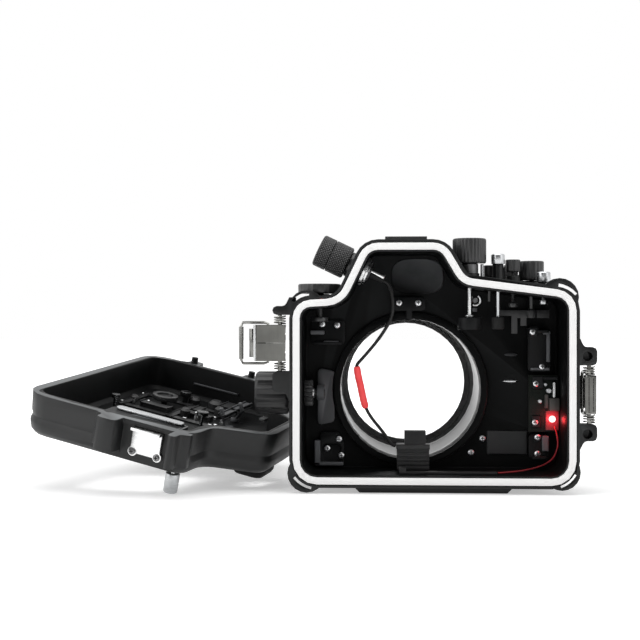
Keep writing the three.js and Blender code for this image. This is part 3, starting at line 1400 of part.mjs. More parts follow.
function controlWheel() {
  const k = wheel;
  const outside = at(k.x, -rear.depth - k.gap, k.z);
  const inside = rearFloor + k.gap;
  const ring = turned([
    [0, 0], [k.innerRadius, 0], [k.innerRadius, k.innerHeight], [k.innerBore, k.innerHeight],
    [k.innerBore, k.innerHeight / 2], [0, k.innerHeight / 2],
  ], at(k.x, inside + k.reach - k.innerHeight, k.z), FORWARD, 20);
  const shaft = rod(
    outside.clone().addScaledVector(BACK, k.chamfer),
    at(k.x, inside + k.reach - k.innerHeight / 2, k.z), k.shaft, 12);
  return join(flutedKnob(k, outside, BACK, 2), shaft, ring);
}

function coverButton(b) {
  const outside = -rear.depth - buttonGap;
  const inside = rearFloor + b.reach;
  const round = b.rod / 2;
  return turned([
    [0, 0],
    [b.capRadius - round, 0],
    [b.capRadius, round],
    [b.capRadius, b.capOut],
    [b.rod, b.capOut],
    [b.rod, inside - outside + b.capOut - b.padHeight],
    [b.pad, inside - outside + b.capOut - b.padHeight],
    [b.pad, inside - outside + b.capOut],
    [0, inside - outside + b.capOut],
  ], at(b.x, outside - b.capOut, b.z), FORWARD, 12);
}

// A small turning knob outside with a bent finger inside that reaches for a camera switch
function coverLever(b) {
  const outside = at(b.x, -rear.depth - arm.gap, b.z);
  const inside = rearFloor + arm.gap;
  const half = arm.width / 2;
  const knob = flutedKnob({
    radius: arm.capRadius, height: arm.capHeight, flutes: arm.capFlutes, fluteDepth: arm.fluteDepth,
    chamfer: arm.chamfer,
  }, outside, BACK, 2);
  const shaft = rod(
    outside.clone().addScaledVector(BACK, arm.chamfer), at(b.x, inside + arm.hubHeight, b.z),
    arm.shaft, 10);
  const hub = rod(at(b.x, inside, b.z), at(b.x, inside + arm.hubHeight, b.z), arm.hub, 12);
  const rise = inside + arm.hubHeight + b.bend;
  const finger = sideways([
    new THREE.Vector2(inside, b.z - arm.thickness),
    new THREE.Vector2(inside, b.z),
    new THREE.Vector2(rise - arm.foot, b.z + b.lean),
    new THREE.Vector2(rise, b.z + b.lean - arm.foot / 2),
    new THREE.Vector2(rise, b.z + b.lean - arm.foot / 2 - arm.thickness),
    new THREE.Vector2(rise - arm.foot, b.z + b.lean - arm.thickness),
  ], b.x - half, b.x + half);
  return join(knob, shaft, hub, finger);
}

// Building the front half
const front = [
  ['front_shell', frontShell(), looks.anodised],
  ['main_seal', mainSeal(), looks.seal],
  ['port_lock_ring', lockRing(), looks.anodised],
  ['port_tube', portTube(), looks.anodised],
  ['port_front_ring', portFrontRing(), looks.moulded],
  ['port_glass', portGlass(), looks.clear],
  ['foot_block', footBlock(), looks.anodised],
  ['accessory_shoe', accessoryShoe(), looks.darkMetal],
  ['sync_bulkhead', syncBulkhead(), looks.darkMetal],
  ['sync_nut', syncNut(), looks.steel],
  ['sync_cap', syncCap(), looks.moulded],
  ['cord_boot', cordBoot(), looks.rubber],
  ['sync_cord_upper', syncCord(cordUpperRoute, cord.steps), looks.rubber],
  ['splice_sleeve', swept(routeCurve(sleeveRoute), sleeve.radius, sleeve.sides, sleeve.steps), looks.red],
  ['sync_cord_lower', syncCord(cordLowerRoute, cord.steps / 2), looks.rubber],
  ['hot_shoe_plug', hotShoePlug(), looks.moulded],
  ['alarm_board', alarmBoard(), looks.board],
  ['alarm_lamp', alarmLamp(), looks.lamp],
  ['alarm_battery', alarmBattery(), looks.moulded],
  ['leak_lead', swept(routeCurve(leadRoute), lead.radius, lead.sides, lead.steps), looks.red],
  ['leak_sensor', leakSensor(), looks.moulded],
  ['bracket_top', bracketTop(), looks.darkMetal],
  ['bracket_left_upper', bracketWithLip(leftUpper, false), looks.darkMetal],
  ['bracket_left_lower', bracketLeftLower(), looks.darkMetal],
  ['bracket_right_upper', bracketWithLip(rightUpper, true), looks.darkMetal],
  ['bracket_right_lower', bracketWithLip(rightLower, false), looks.darkMetal],
  ['zoom_bracket', zoomBracket(), looks.darkMetal],
  ['dial_knob', dialKnob(), looks.anodised],
  ['dial_shaft', dialShaft(), looks.steel],
  ['dial_cup', dialCup(), looks.moulded],
  ['push_button', silverButton(pushButton), looks.steel],
  ['push_button_foot', buttonFoot(), looks.moulded],
  ['disc_button', discPush(), looks.anodised],
  ['lever_knob', leverKnobPiece(), looks.anodised],
  ['lever_arm', leverArm(), looks.moulded],
  ['rear_top_button', footedButton(rearButton), looks.steel],
  ['side_knob', smallKnob(), looks.anodised],
  ['mode_dial', modeDialPiece(), looks.anodised],
  ['zoom_knob', zoomKnob(), looks.moulded],
  ['zoom_gear', zoomGear(), looks.moulded],
  ['latch_left_pin', latchPin(latchLeft), looks.steel],
  ['latch_left_lever', latchLever(latchLeft, false), looks.steel],
  ['latch_left_bail', latchBail(latchLeft, false), looks.steel],
  ['latch_right_pin', latchPin(latchRight), looks.steel],
  ['latch_right_lever', latchLever(latchRight, true), looks.steel],
  ['latch_right_bail', latchBail(latchRight, true), looks.steel],
];
front.forEach(([name, manifold, material]) => piece(housing, name, manifold, material));

// Building the rear cover and laying it down beside the front half
const back = [
  ['rear_shell', rearShell(), looks.anodised],
  ['screen_window', screenWindow(), looks.clear],
  ['eyepiece', eyepiece(), looks.rubber],
  ['eyepiece_glass', eyepieceGlass(), looks.clear],
  ['catch_left', catchPiece(latchLeft), looks.steel],
  ['catch_right', catchPiece(latchRight), looks.steel],
  ['pocket_strip', pocketStrip(), looks.steel],
  ['control_wheel', controlWheel(), looks.anodised],
  ...rearButtons.map((b) => [b.name, coverButton(b), looks.steel]),
  ...rearArms.map((b) => [b.name, coverLever(b), looks.moulded]),
];
back.forEach(([name, manifold, material]) => piece(cover, name, manifold, material));

// Laid down, the cover is turned by these angles and lies on the floor. The hump's end of its rim comes
// within a gap of the front half's left wall, and lies that far in front of the wall's middle.
const laid = { gap: 3.53, ahead: 8.22, turnX: 102.5, turnY: -5.8, turnZ: 73.6 };
const degrees = Math.PI / 180;
cover.rotation.set(laid.turnX * degrees, laid.turnY * degrees, laid.turnZ * degrees, 'ZYX');
const rimEnd = at(eye.x, 0, outline.top).applyEuler(cover.rotation);
cover.position.set(-outline.halfWidth - laid.gap, laid.ahead, 0).sub(rimEnd);
cover.updateMatrixWorld();
cover.position.z -= new THREE.Box3().setFromObject(cover, true).min.z;
housing.add(cover);

console.log(`least gap in the latch springs ${Math.min(...coilGaps).toFixed(2)} mm`);

export default housing;
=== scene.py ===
import math

import bpy
import bmesh
from mathutils import Euler, Matrix, Vector


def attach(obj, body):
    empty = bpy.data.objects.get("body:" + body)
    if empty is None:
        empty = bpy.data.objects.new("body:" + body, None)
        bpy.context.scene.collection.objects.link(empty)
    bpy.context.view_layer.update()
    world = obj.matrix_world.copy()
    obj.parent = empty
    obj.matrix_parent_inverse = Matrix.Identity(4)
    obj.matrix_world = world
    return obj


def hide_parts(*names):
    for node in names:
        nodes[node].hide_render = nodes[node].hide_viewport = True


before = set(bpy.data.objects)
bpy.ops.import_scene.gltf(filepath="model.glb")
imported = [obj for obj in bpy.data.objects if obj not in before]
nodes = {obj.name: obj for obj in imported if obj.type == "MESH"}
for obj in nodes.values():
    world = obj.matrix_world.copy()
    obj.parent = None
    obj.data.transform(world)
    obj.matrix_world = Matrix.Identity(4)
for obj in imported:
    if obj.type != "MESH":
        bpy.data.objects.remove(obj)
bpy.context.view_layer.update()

MM = 0.001
DEGREE = math.pi / 180
FULL_TURN = 2 * math.pi
RIGHT = Vector((1.0, 0.0, 0.0))
BACK = Vector((0.0, -1.0, 0.0))
UP = Vector((0.0, 0.0, 1.0))

# The camera, fitted to the photograph
SENSOR = 36.0
LENS = 65.74
CAMERA_PLACE = Vector((-41.5, -826.0, 119.07)) * MM
CAMERA_YAW = 2.592
CLIP_START = 0.01

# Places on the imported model, in millimetres
WALL = 18.0
BOARD = 8.1
PORT_X = -14.7
PORT_Z = 69.4
LAMP_X = 85.2
LAMP_Z = 49.0

# The port tube's inside: where its painted reflection near the bore gives way to painted shade and to its
# rings, along which slant, how fast, and the rings' pitch
TUBE_RINGS_Y = 76.0
TUBE_RINGS_SLANT = Vector((-0.1, 1.0, 0.4))
TUBE_RINGS_FADE = 6.0
TUBE_RING_PITCH = 4.5

# The dome in the hump, as X and Z, and the side from which it is lit
DOME_MIDDLE = (-9.5, 150.5)
DOME_HALF = (19.0, 13.0)
DOME_DEPTH = 1.6
DOME_LIT_SIDE = Vector((0.35, 0.0, 0.94))
DOME_LIT_REACH = 12.0

# The rear cover as it lies: its turn, and where its rim's lower left corner is
COVER_TURN = Euler((102.5 * DEGREE, -5.8 * DEGREE, 73.6 * DEGREE), "XYZ").to_matrix()
COVER_CORNER = Vector((-98.9, 0.0, 4.0))
COVER_CORNER_PLACE = Vector((-285.2, -23.9, 70.39))
COVER_FLOOR_Y = -26.5
COVER_IN = COVER_TURN @ Vector((0.0, 1.0, 0.0))
COVER_SIDE = COVER_TURN @ RIGHT

# Strengths of looks that stand for light in the photograph's room
EDGE_ROUND = 0.0011
SEAL_GLOW = 0.2
SLEEVE_GLOW = 0.26
LAMP_GLOW = 3.5
RIM_LIGHT = 11.0
DOME_LIGHT = 9.5


def point(x, y, z):
    return Vector((x, y, z)) * MM


def on_cover(x, y, z):
    """A point given on the closed cover, in millimetres, moved to where the cover lies."""
    turned = COVER_TURN @ (Vector((x, y, z)) - COVER_CORNER)
    return (turned + COVER_CORNER_PLACE) * MM


def on_floor(x, y, z):
    """A point that is given by its height over the cover's floor."""
    return on_cover(x, COVER_FLOOR_Y + y, z)


def new_object(name, data):
    made = bpy.data.objects.new(name, data)
    bpy.context.scene.collection.objects.link(made)
    return made


# The camera
def make_camera():
    data = bpy.data.cameras.new("view_camera")
    data.sensor_width = SENSOR
    data.lens = LENS
    data.clip_start = CLIP_START
    camera = new_object("view_camera", data)
    camera.location = CAMERA_PLACE
    camera.rotation_euler = (90 * DEGREE, 0.0, CAMERA_YAW * DEGREE)
    bpy.context.scene.camera = camera


make_camera()


# Small material helpers
def tree_and_shader(material):
    return material.node_tree, material.node_tree.nodes["Principled BSDF"]


def new_material(name, color, roughness, metallic=0.0):
    material = bpy.data.materials.new(name)
    material.use_nodes = True
    tree, shader = tree_and_shader(material)
    shader.inputs["Base Color"].default_value = (*color, 1.0)
    shader.inputs["Roughness"].default_value = roughness
    shader.inputs["Metallic"].default_value = metallic
    return material, tree, shader


def add_node(tree, kind, **values):
    node = tree.nodes.new(kind)
    for name, value in values.items():
        setattr(node, name, value)
    return node


def feed(socket, value):
    """Links another node's output to a socket, or writes a plain value in it."""
    if isinstance(value, bpy.types.NodeSocket):
        socket.id_data.links.new(value, socket)
    else:
        socket.default_value = value


def calculated(tree, operation, *values, clamp=False):
    node = add_node(tree, "ShaderNodeMath", operation=operation, use_clamp=clamp)
    for socket, value in zip(node.inputs, values):
        feed(socket, value)
    return node.outputs["Value"]


def from_vectors(tree, operation, *values, result="Value"):
    node = add_node(tree, "ShaderNodeVectorMath", operation=operation)
    for socket, value in zip(node.inputs, values):
        feed(socket, value)
    return node.outputs[result]


def mixed(tree, share, first, second, kind="RGBA"):
    """The first value where the share is 0, and the second where it is 1."""
    low, high, out = {"FLOAT": (2, 3, 0), "RGBA": (6, 7, 2)}[kind]
    node = add_node(tree, "ShaderNodeMix", data_type=kind)
    feed(node.inputs["Factor"], share)
    feed(node.inputs[low], first)
    feed(node.inputs[high], second)
    return node.outputs[out]


def on_piece(tree, what="Object"):
    """Each point's place in metres, or its normal, on the piece as it rests."""
    return add_node(tree, "ShaderNodeTexCoord").outputs[what]


def mapped(tree, place, socket, value):
    mapping = add_node(tree, "ShaderNodeMapping")
    mapping.inputs[socket].default_value = value
    feed(mapping.inputs["Vector"], place)
    return mapping.outputs["Vector"]


def separated(tree, vector):
    parts = add_node(tree, "ShaderNodeSeparateXYZ")
    feed(parts.inputs["Vector"], vector)
    return parts.outputs


def noise(tree, scale, detail=3.0, stretch=None):
    """Noise in the object's own coordinates, in cycles per metre."""
    place = on_piece(tree)
    if stretch is not None:
        place = mapped(tree, place, "Scale", stretch)
    texture = add_node(tree, "ShaderNodeTexNoise")
    texture.inputs["Scale"].default_value = scale
    texture.inputs["Detail"].default_value = detail
    feed(texture.inputs["Vector"], place)
    return texture.outputs["Fac"]


def spread(tree, value, low, high, start=0.3, end=0.7):
    """Low where the value is at its start, high where it is at its end."""
    ranged = add_node(tree, "ShaderNodeMapRange")
    ranged.inputs["From Min"].default_value = start
    ranged.inputs["From Max"].default_value = end
    ranged.inputs["To Min"].default_value = low
    ranged.inputs["To Max"].default_value = high
    feed(ranged.inputs["Value"], value)
    return ranged.outputs["Result"]


def shared(tree, share, low, high):
    """Low where the share is 0, and high where it is 1."""
    return spread(tree, share, low, high, 0.0, 1.0)


def tint(tree, value, dark, light, start=0.3, end=0.7):
    ramp = add_node(tree, "ShaderNodeValToRGB")
    for element, position, color in zip(ramp.color_ramp.elements, (start, end), (dark, light)):
        element.position = position
        element.color = (*color, 1.0)
    feed(ramp.inputs["Fac"], value)
    return ramp.outputs["Color"]


def bump(tree, shader, height, distance, strength=1.0, before=None):
    node = add_node(tree, "ShaderNodeBump")
    node.inputs["Strength"].default_value = strength
    node.inputs["Distance"].default_value = distance
    feed(node.inputs["Height"], height)
    if before is not None:
        feed(node.inputs["Normal"], before)
    feed(shader.inputs["Normal"], node.outputs["Normal"])


# The pointiness of an edge where its wear and painted highlight begin, and where they are full
WEAR_AND_HIGHLIGHT_POINTINESS = (0.53, 0.62)


def worn_and_highlit(tree, color, edge_color, amount):
    """The colour, lighter along sharp outer edges, partly where the finish has rubbed and partly as a
    painted highlight where edges catch the light.
    """
    geometry = add_node(tree, "ShaderNodeNewGeometry")
    edges = spread(tree, geometry.outputs["Pointiness"], 0.0, amount, *WEAR_AND_HIGHLIGHT_POINTINESS)
    return mixed(tree, edges, color, (*edge_color, 1.0))


def rounded_edges(tree, radius):
    """Edges shade as if rounded by a radius in metres, so that they catch the light."""
    node = add_node(tree, "ShaderNodeBevel", samples=6)
    node.inputs["Radius"].default_value = radius
    return node.outputs["Normal"]


def share_along(tree, origin, axis, start, end):
    """0 to 1 between two heights in metres along an axis from a point, on the piece as it rests."""
    away = from_vectors(tree, "SUBTRACT", on_piece(tree), origin, result="Vector")
    return spread(tree, from_vectors(tree, "DOT_PRODUCT", away, axis), 0.0, 1.0, start, end)


# Where looks blend: how far in front of a face the hollow's middle is, and the cosine between the
# face's direction and an axis
FACING_BLEND = (0.0, 1.0 * MM)
ALONG_BLEND = (0.93, 0.97)


def facing_in(tree, centre):
    """1 on faces that look towards the middle of a shell's hollow, 0 on its outer faces."""
    toward = from_vectors(tree, "SUBTRACT", centre, on_piece(tree), result="Vector")
    along = from_vectors(tree, "DOT_PRODUCT", toward, on_piece(tree, "Normal"))
    return spread(tree, along, 0.0, 1.0, *FACING_BLEND)


def facing_along(tree, axis):
    """1 on faces that look along an axis."""
    along = from_vectors(tree, "DOT_PRODUCT", on_piece(tree, "Normal"), axis)
    return spread(tree, along, 0.0, 1.0, *ALONG_BLEND)


def scaled_color(tree, shader, share, scale):
    """The shader's colour, times the scale where the share is 1."""
    plain = shader.inputs["Base Color"].links[0].from_socket
    node = add_node(tree, "ShaderNodeVectorMath", operation="SCALE")
    feed(node.inputs[0], plain)
    feed(node.inputs["Scale"], shared(tree, share, 1.0, scale))
    feed(shader.inputs["Base Color"], node.outputs["Vector"])


# Materials
def clouded(name, dark, light, roughness, cloud, less, more, metallic=0.0):
    """A surface whose colour and roughness drift together; cloud is the noise's scale and detail."""
    material, tree, shader = new_material(name, dark, roughness, metallic)
    drift = noise(tree, *cloud)
    feed(shader.inputs["Base Color"], tint(tree, drift, dark, light))
    feed(shader.inputs["Roughness"], spread(tree, drift, roughness - less, roughness + more))
    return material, tree, shader


def black_metal(name, dark, light, roughness, sheen=0.2):
    """Hard anodised aluminium: a blasted grain, and broad patches of slightly different sheen."""
    material, tree, shader = clouded(name, dark, light, roughness, (45.0, 4.0), 0.06, 0.08)
    color = shader.inputs["Base Color"].links[0].from_socket
    # Sharp edges are lighter: partly rubbed finish, partly a painted highlight
    rubbed_and_lit = tuple(3.2 * part for part in light)
    feed(shader.inputs["Base Color"], worn_and_highlit(tree, color, rubbed_and_lit, 0.55))
    shader.inputs["Specular IOR Level"].default_value = sheen
    bump(tree, shader, noise(tree, 1800.0, 2.0), 0.00004, 0.6, rounded_edges(tree, EDGE_ROUND))
    return material


def shaded_hollow_look(material, centre, sheens, inner_shade_scale):
    """Makes the hollow of a shell darker than its outside with painted shade, and less glossy; sheens are
    the outer and the inner one.
    """
    tree, shader = tree_and_shader(material)
    inside = facing_in(tree, centre)
    scaled_color(tree, shader, inside, inner_shade_scale)
    feed(shader.inputs["Specular IOR Level"], shared(tree, inside, *sheens))
    return material


def rim_highlight_look(material, centre, axis, scale):
    """Makes the machined rim that looks along an axis lighter than the blasted sides: a painted highlight
    where the rim faces the light above.
    """
    tree, shader = tree_and_shader(material)
    rim = calculated(tree, "SUBTRACT", facing_along(tree, axis), facing_in(tree, centre), clamp=True)
    scaled_color(tree, shader, rim, scale)
    return material


def plastic(name, dark, light, roughness):
    """Moulded or machined plastic with a faint uneven skin."""
    material, tree, shader = clouded(name, dark, light, roughness, (70.0, 3.0), 0.05, 0.07)
    bump(tree, shader, noise(tree, 900.0, 2.0), 0.00003, 0.5)
    return material


def steel(name, dark, light, roughness, streak=(40.0, 40.0, 1500.0)):
    """Polished or brushed steel; its fine streaks run along the axis with the lowest streak number."""
    material, tree, shader = new_material(name, light, roughness, 1.0)
    streaks = noise(tree, 1.0, 3.0, streak)
    feed(shader.inputs["Base Color"], tint(tree, noise(tree, 60.0, 3.0), dark, light))
    feed(shader.inputs["Roughness"], spread(tree, streaks, roughness - 0.08, roughness + 0.12))
    bump(tree, shader, streaks, 0.00002, 0.5)
    return material


def rubber(name, dark, light, roughness=0.72):
    material, tree, shader = clouded(name, dark, light, roughness, (160.0, 4.0), 0.08, 0.1)
    shader.inputs["Specular IOR Level"].default_value = 0.3
    bump(tree, shader, noise(tree, 2600.0, 2.0), 0.00003, 0.5)
    return material


def glowing(shader, color, strength):
    shader.inputs["Emission Color"].default_value = (*color, 1.0)
    shader.inputs["Emission Strength"].default_value = strength


def shrink_sleeve(name):
    """Red shrink tubing with a faint painted glow, which stands for the light behind it coming through the
    thin tubing.
    """
    material = rubber(name, (0.85, 0.075, 0.08), (0.97, 0.13, 0.135), 0.5)
    glowing(tree_and_shader(material)[1], (1.0, 0.06, 0.065), SLEEVE_GLOW)
    return material


def silicone(name):
    material, tree, shader = new_material(name, (0.9, 0.9, 0.89), 0.5)
    # Painted light: the seal glows a little, so that it shows as white as under strong light
    glowing(shader, (1.0, 1.0, 0.99), SEAL_GLOW)
    cloud = noise(tree, 120.0, 3.0)
    feed(shader.inputs["Base Color"], tint(tree, cloud, (0.93, 0.93, 0.925), (0.97, 0.97, 0.965)))
    bump(tree, shader, noise(tree, 1500.0, 2.0), 0.00002, 0.4)
    return material


def glass(name):
    """Thin clear glass: light goes straight through, and the surface still mirrors a little."""
    material, tree, shader = new_material(name, (1.0, 1.0, 1.0), 0.0)
    shader.inputs["Transmission Weight"].default_value = 1.0
    shader.inputs["IOR"].default_value = 1.12
    feed(shader.inputs["Roughness"], spread(tree, noise(tree, 30.0, 4.0), 0.0, 0.015))
    return material


def knurled(name, dark, light, around, along, depth):
    """Diamond knurling on a turned piece, whose UV runs once round and along in metres."""
    material, tree, shader = new_material(name, dark, 0.5)
    parts = separated(tree, add_node(tree, "ShaderNodeUVMap").outputs["UV"])
    waves = []
    for sign in (1, -1):
        turn = calculated(tree, "MULTIPLY", parts["X"], FULL_TURN * around)
        climb = calculated(tree, "MULTIPLY_ADD", parts["Y"], sign * FULL_TURN * along, turn)
        waves.append(calculated(tree, "SINE", climb))
    lowest = calculated(tree, "MINIMUM", *waves)
    height = spread(tree, lowest, 0.0, 1.0, -1.0, 1.0)
    # Painted highlight and shade: the knurl's peaks are coloured light and its grooves dark
    feed(shader.inputs["Base Color"], tint(tree, height, dark, light, 0.2, 0.95))
    bump(tree, shader, lowest, depth)
    return material


ROD_BLEND = 0.5 * MM


def two_ended(material, origin, axis, inner_shade_scale):
    """Makes the part of a rod that is past a point along an axis darker, as painted shade."""
    tree, shader = tree_and_shader(material)
    scaled_color(tree, shader, share_along(tree, origin, axis, 0.0, ROD_BLEND), inner_shade_scale)
    return material


def tube_look(name):
    """The port tube: near the bore a painted reflection, bright as at a low angle, fading into painted
    shade; dull and finely ringed towards the glass.
    """
    material, tree, shader = new_material(name, (0.010, 0.0105, 0.011), 0.1)
    start = point(PORT_X, TUBE_RINGS_Y, PORT_Z)
    inside = facing_in(tree, start)
    far = share_along(tree, start, TUBE_RINGS_SLANT, 0.0, TUBE_RINGS_FADE * MM)
    bore_reflection_to_shade = mixed(tree, far, (0.55, 0.56, 0.56, 1.0), (0.005, 0.0053, 0.0056, 1.0))
    bore_roughness = shared(tree, far, 0.22, 0.6)
    feed(shader.inputs["Base Color"], mixed(tree, inside, (0.0085, 0.009, 0.0093, 1.0), bore_reflection_to_shade))
    feed(shader.inputs["Roughness"], mixed(tree, inside, 0.42, bore_roughness, "FLOAT"))
    feed(shader.inputs["Specular IOR Level"], shared(tree, far, 0.6, 0.02))
    depth = separated(tree, on_piece(tree))["Y"]
    turn = calculated(tree, "MULTIPLY", depth, FULL_TURN / (TUBE_RING_PITCH * MM))
    rings = calculated(tree, "MULTIPLY", calculated(tree, "SINE", turn), far)
    bump(tree, shader, rings, 0.0004)
    return material


def lamp_seat_look(name):
    """Clear red resin round the lit lamp, with a painted glow from the lamp that is strongest beside it."""
    material, tree, shader = new_material(name, (0.10, 0.004, 0.008), 0.3)
    glow = noise(tree, 420.0, 2.0)
    feed(shader.inputs["Emission Color"], tint(tree, glow, (0.45, 0.01, 0.03), (0.9, 0.08, 0.12)))
    away = from_vectors(tree, "DISTANCE", on_piece(tree), point(LAMP_X, BOARD, LAMP_Z))
    feed(shader.inputs["Emission Strength"], spread(tree, away, 0.34, 0.02, 0.0022, 0.0068))
    return material


def dome_look(name):
    """The hump's dome: a dull skin, lighter towards its top and right, where the room's light comes in."""
    material = plastic(name, (0.010, 0.0105, 0.011), (0.014, 0.0145, 0.015), 0.62)
    tree, shader = tree_and_shader(material)
    shader.inputs["Specular IOR Level"].default_value = 0.04
    middle = point(DOME_MIDDLE[0], 0, DOME_MIDDLE[1])
    reach = DOME_LIT_REACH * MM
    scaled_color(tree, shader, share_along(tree, middle, DOME_LIT_SIDE, -reach, reach), DOME_LIGHT)
    return material


def board_look(name):
    """A dark printed circuit board with faint copper tracks under its lacquer."""
    material, tree, shader = new_material(name, (0.008, 0.011, 0.009), 0.35)
    shader.inputs["Specular IOR Level"].default_value = 0.12
    bricks = add_node(tree, "ShaderNodeTexBrick")
    bricks.inputs["Scale"].default_value = 260.0
    bricks.inputs["Mortar Size"].default_value = 0.03
    bricks.inputs["Color1"].default_value = (0.004, 0.006, 0.005, 1.0)
    bricks.inputs["Color2"].default_value = (0.007, 0.010, 0.008, 1.0)
    bricks.inputs["Mortar"].default_value = (0.02, 0.024, 0.019, 1.0)
    feed(bricks.inputs["Vector"], mapped(tree, on_piece(tree), "Rotation", (90 * DEGREE, 0.0, 0.0)))
    feed(shader.inputs["Base Color"], bricks.outputs["Color"])
    bump(tree, shader, bricks.outputs["Fac"], 0.00005, 0.6)
    return material


def lamp_look(name):
    material, tree, shader = new_material(name, (0.9, 0.06, 0.04), 0.15)
    shader.inputs["Emission Strength"].default_value = LAMP_GLOW
    glow = noise(tree, 300.0, 2.0)
    feed(shader.inputs["Emission Color"], tint(tree, glow, (1.0, 0.30, 0.30), (1.0, 0.55, 0.52)))
    return material


def cover_look(name):
    middle = on_cover(-5.0, -2.0, 66.0)
    metal = black_metal(name, (0.006, 0.0064, 0.0066), (0.0105, 0.011, 0.0113), 0.43)
    shell = shaded_hollow_look(metal, middle, sheens=(0.4, 0.1), inner_shade_scale=0.75)
    return rim_highlight_look(shell, middle, COVER_IN, RIM_LIGHT)


def front_look(name):
    middle = point(0.0, -10.0, 68.0)
    metal = black_metal(name, (0.006, 0.0064, 0.0066), (0.010, 0.0107, 0.011), 0.42)
    return shaded_hollow_look(metal, middle, sheens=(0.34, 0.06), inner_shade_scale=0.55)


def rod_look(name):
    """The cover buttons' silver rods, darker with painted shade where they stand inside the cover."""
    metal = steel(name, (0.45, 0.46, 0.47), (0.62, 0.63, 0.64), 0.3)
    return two_ended(metal, on_floor(0, 0, 0), COVER_IN, inner_shade_scale=0.16)


ACROSS_STREAK = (900.0, 900.0, 60.0)
SIDE_STREAK = (1500.0, 40.0, 40.0)
looks = {
    "shell": front_look("shell_black"),
    "cover": cover_look("cover_black"),
    "tube": tube_look("tube_black"),
    "knob": black_metal("knob_black", (0.018, 0.0185, 0.019), (0.030, 0.0305, 0.031), 0.36, 0.55),
    "plate": black_metal("plate_black", (0.005, 0.0053, 0.0056), (0.009, 0.0095, 0.010), 0.42, 0.12),
    "dome": dome_look("dome_black"),
    "pad": black_metal("pad_black", (0.022, 0.023, 0.024), (0.034, 0.035, 0.037), 0.5, 0.3),
    "grey_plate": black_metal("grey_plate", (0.045, 0.047, 0.050), (0.070, 0.072, 0.076), 0.45),
    "moulded": plastic("moulded_black", (0.012, 0.012, 0.0125), (0.022, 0.0222, 0.023), 0.45),
    "steel": steel("polished_steel", (0.16, 0.16, 0.15), (0.30, 0.30, 0.285), 0.22),
    "lever_steel": steel("lever_steel", (0.15, 0.15, 0.14), (0.24, 0.24, 0.225), 0.45, SIDE_STREAK),
    "bright": steel("bright_steel", (0.78, 0.79, 0.79), (0.92, 0.92, 0.92), 0.3),
    "silver": steel("silver_anodised", (0.42, 0.43, 0.44), (0.60, 0.61, 0.62), 0.3, ACROSS_STREAK),
    "rod": rod_look("silver_rod"),
    "collar": steel("grey_collar", (0.12, 0.12, 0.122), (0.24, 0.24, 0.243), 0.4, ACROSS_STREAK),
    "screw": steel("screw_steel", (0.72, 0.73, 0.74), (0.90, 0.91, 0.92), 0.35),
    "seal": silicone("white_silicone"),
    "rubber": rubber("black_rubber", (0.008, 0.008, 0.008), (0.016, 0.016, 0.016)),
    "cord": rubber("cord_jacket", (0.010, 0.010, 0.010), (0.020, 0.020, 0.020), 0.5),
    "sleeve": shrink_sleeve("red_sleeve"),
    "red_wire": rubber("red_wire", (0.20, 0.010, 0.016), (0.34, 0.024, 0.032), 0.4),
    "glass": glass("port_glass_clear"),
    "board": board_look("alarm_board_lacquer"),
    "lamp": lamp_look("alarm_lamp_lit"),
    "knurl": knurled("knurled_black", (0.004, 0.004, 0.004), (0.20, 0.20, 0.203), 34.0, 470.0, 0.0004),
    "battery": plastic("battery_grey", (0.06, 0.056, 0.052), (0.10, 0.094, 0.088), 0.5),
    "lamp_seat": lamp_seat_look("lamp_seat_red"),
}


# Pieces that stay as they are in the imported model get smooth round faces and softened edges
def smoothing_group(angle):
    group = bpy.data.node_groups.new("smooth_round_faces", "GeometryNodeTree")
    group.interface.new_socket("Geometry", in_out="INPUT", socket_type="NodeSocketGeometry")
    group.interface.new_socket("Geometry", in_out="OUTPUT", socket_type="NodeSocketGeometry")
    entry = group.nodes.new("NodeGroupInput")
    leave = group.nodes.new("NodeGroupOutput")
    plain = group.nodes.new("GeometryNodeRemoveAttribute")
    plain.inputs["Name"].default_value = "custom_normal"
    faces = group.nodes.new("GeometryNodeSetShadeSmooth")
    edges = group.nodes.new("GeometryNodeSetShadeSmooth")
    edges.domain = "EDGE"
    fold = group.nodes.new("GeometryNodeInputMeshEdgeAngle")
    compare = group.nodes.new("FunctionNodeCompare")
    compare.data_type = "FLOAT"
    compare.operation = "LESS_THAN"
    compare.inputs[1].default_value = angle
    link = group.links.new
    link(entry.outputs[0], plain.inputs["Geometry"])
    link(plain.outputs["Geometry"], faces.inputs["Geometry"])
    link(faces.outputs["Geometry"], edges.inputs["Geometry"])
    link(fold.outputs["Unsigned Angle"], compare.inputs[0])
    link(compare.outputs["Result"], edges.inputs["Shade Smooth"])
    link(edges.outputs["Geometry"], leave.inputs[0])
    return group


SMOOTH_ANGLE = 33 * DEGREE
FLAT_ANGLE = 0.6 * DEGREE
WELD_GAP = 0.000002
smoothing = smoothing_group(SMOOTH_ANGLE)


def soften(piece, width=0.0):
    """Joins the faces' corners, rounds sharp edges by a width in metres, and shades round faces smooth."""
    weld = piece.modifiers.new("weld", "WELD")
    weld.merge_threshold = WELD_GAP
    if width > 0:
        flat = piece.modifiers.new("flat_faces", "DECIMATE")
        flat.decimate_type = "DISSOLVE"
        flat.angle_limit = FLAT_ANGLE
        edge = piece.modifiers.new("soft_edges", "BEVEL")
        edge.width = width
        edge.segments = 2
        edge.limit_method = "ANGLE"
        edge.angle_limit = SMOOTH_ANGLE
        edge.use_clamp_overlap = True
    shade = piece.modifiers.new("smooth_shade", "NODES")
    shade.node_group = smoothing


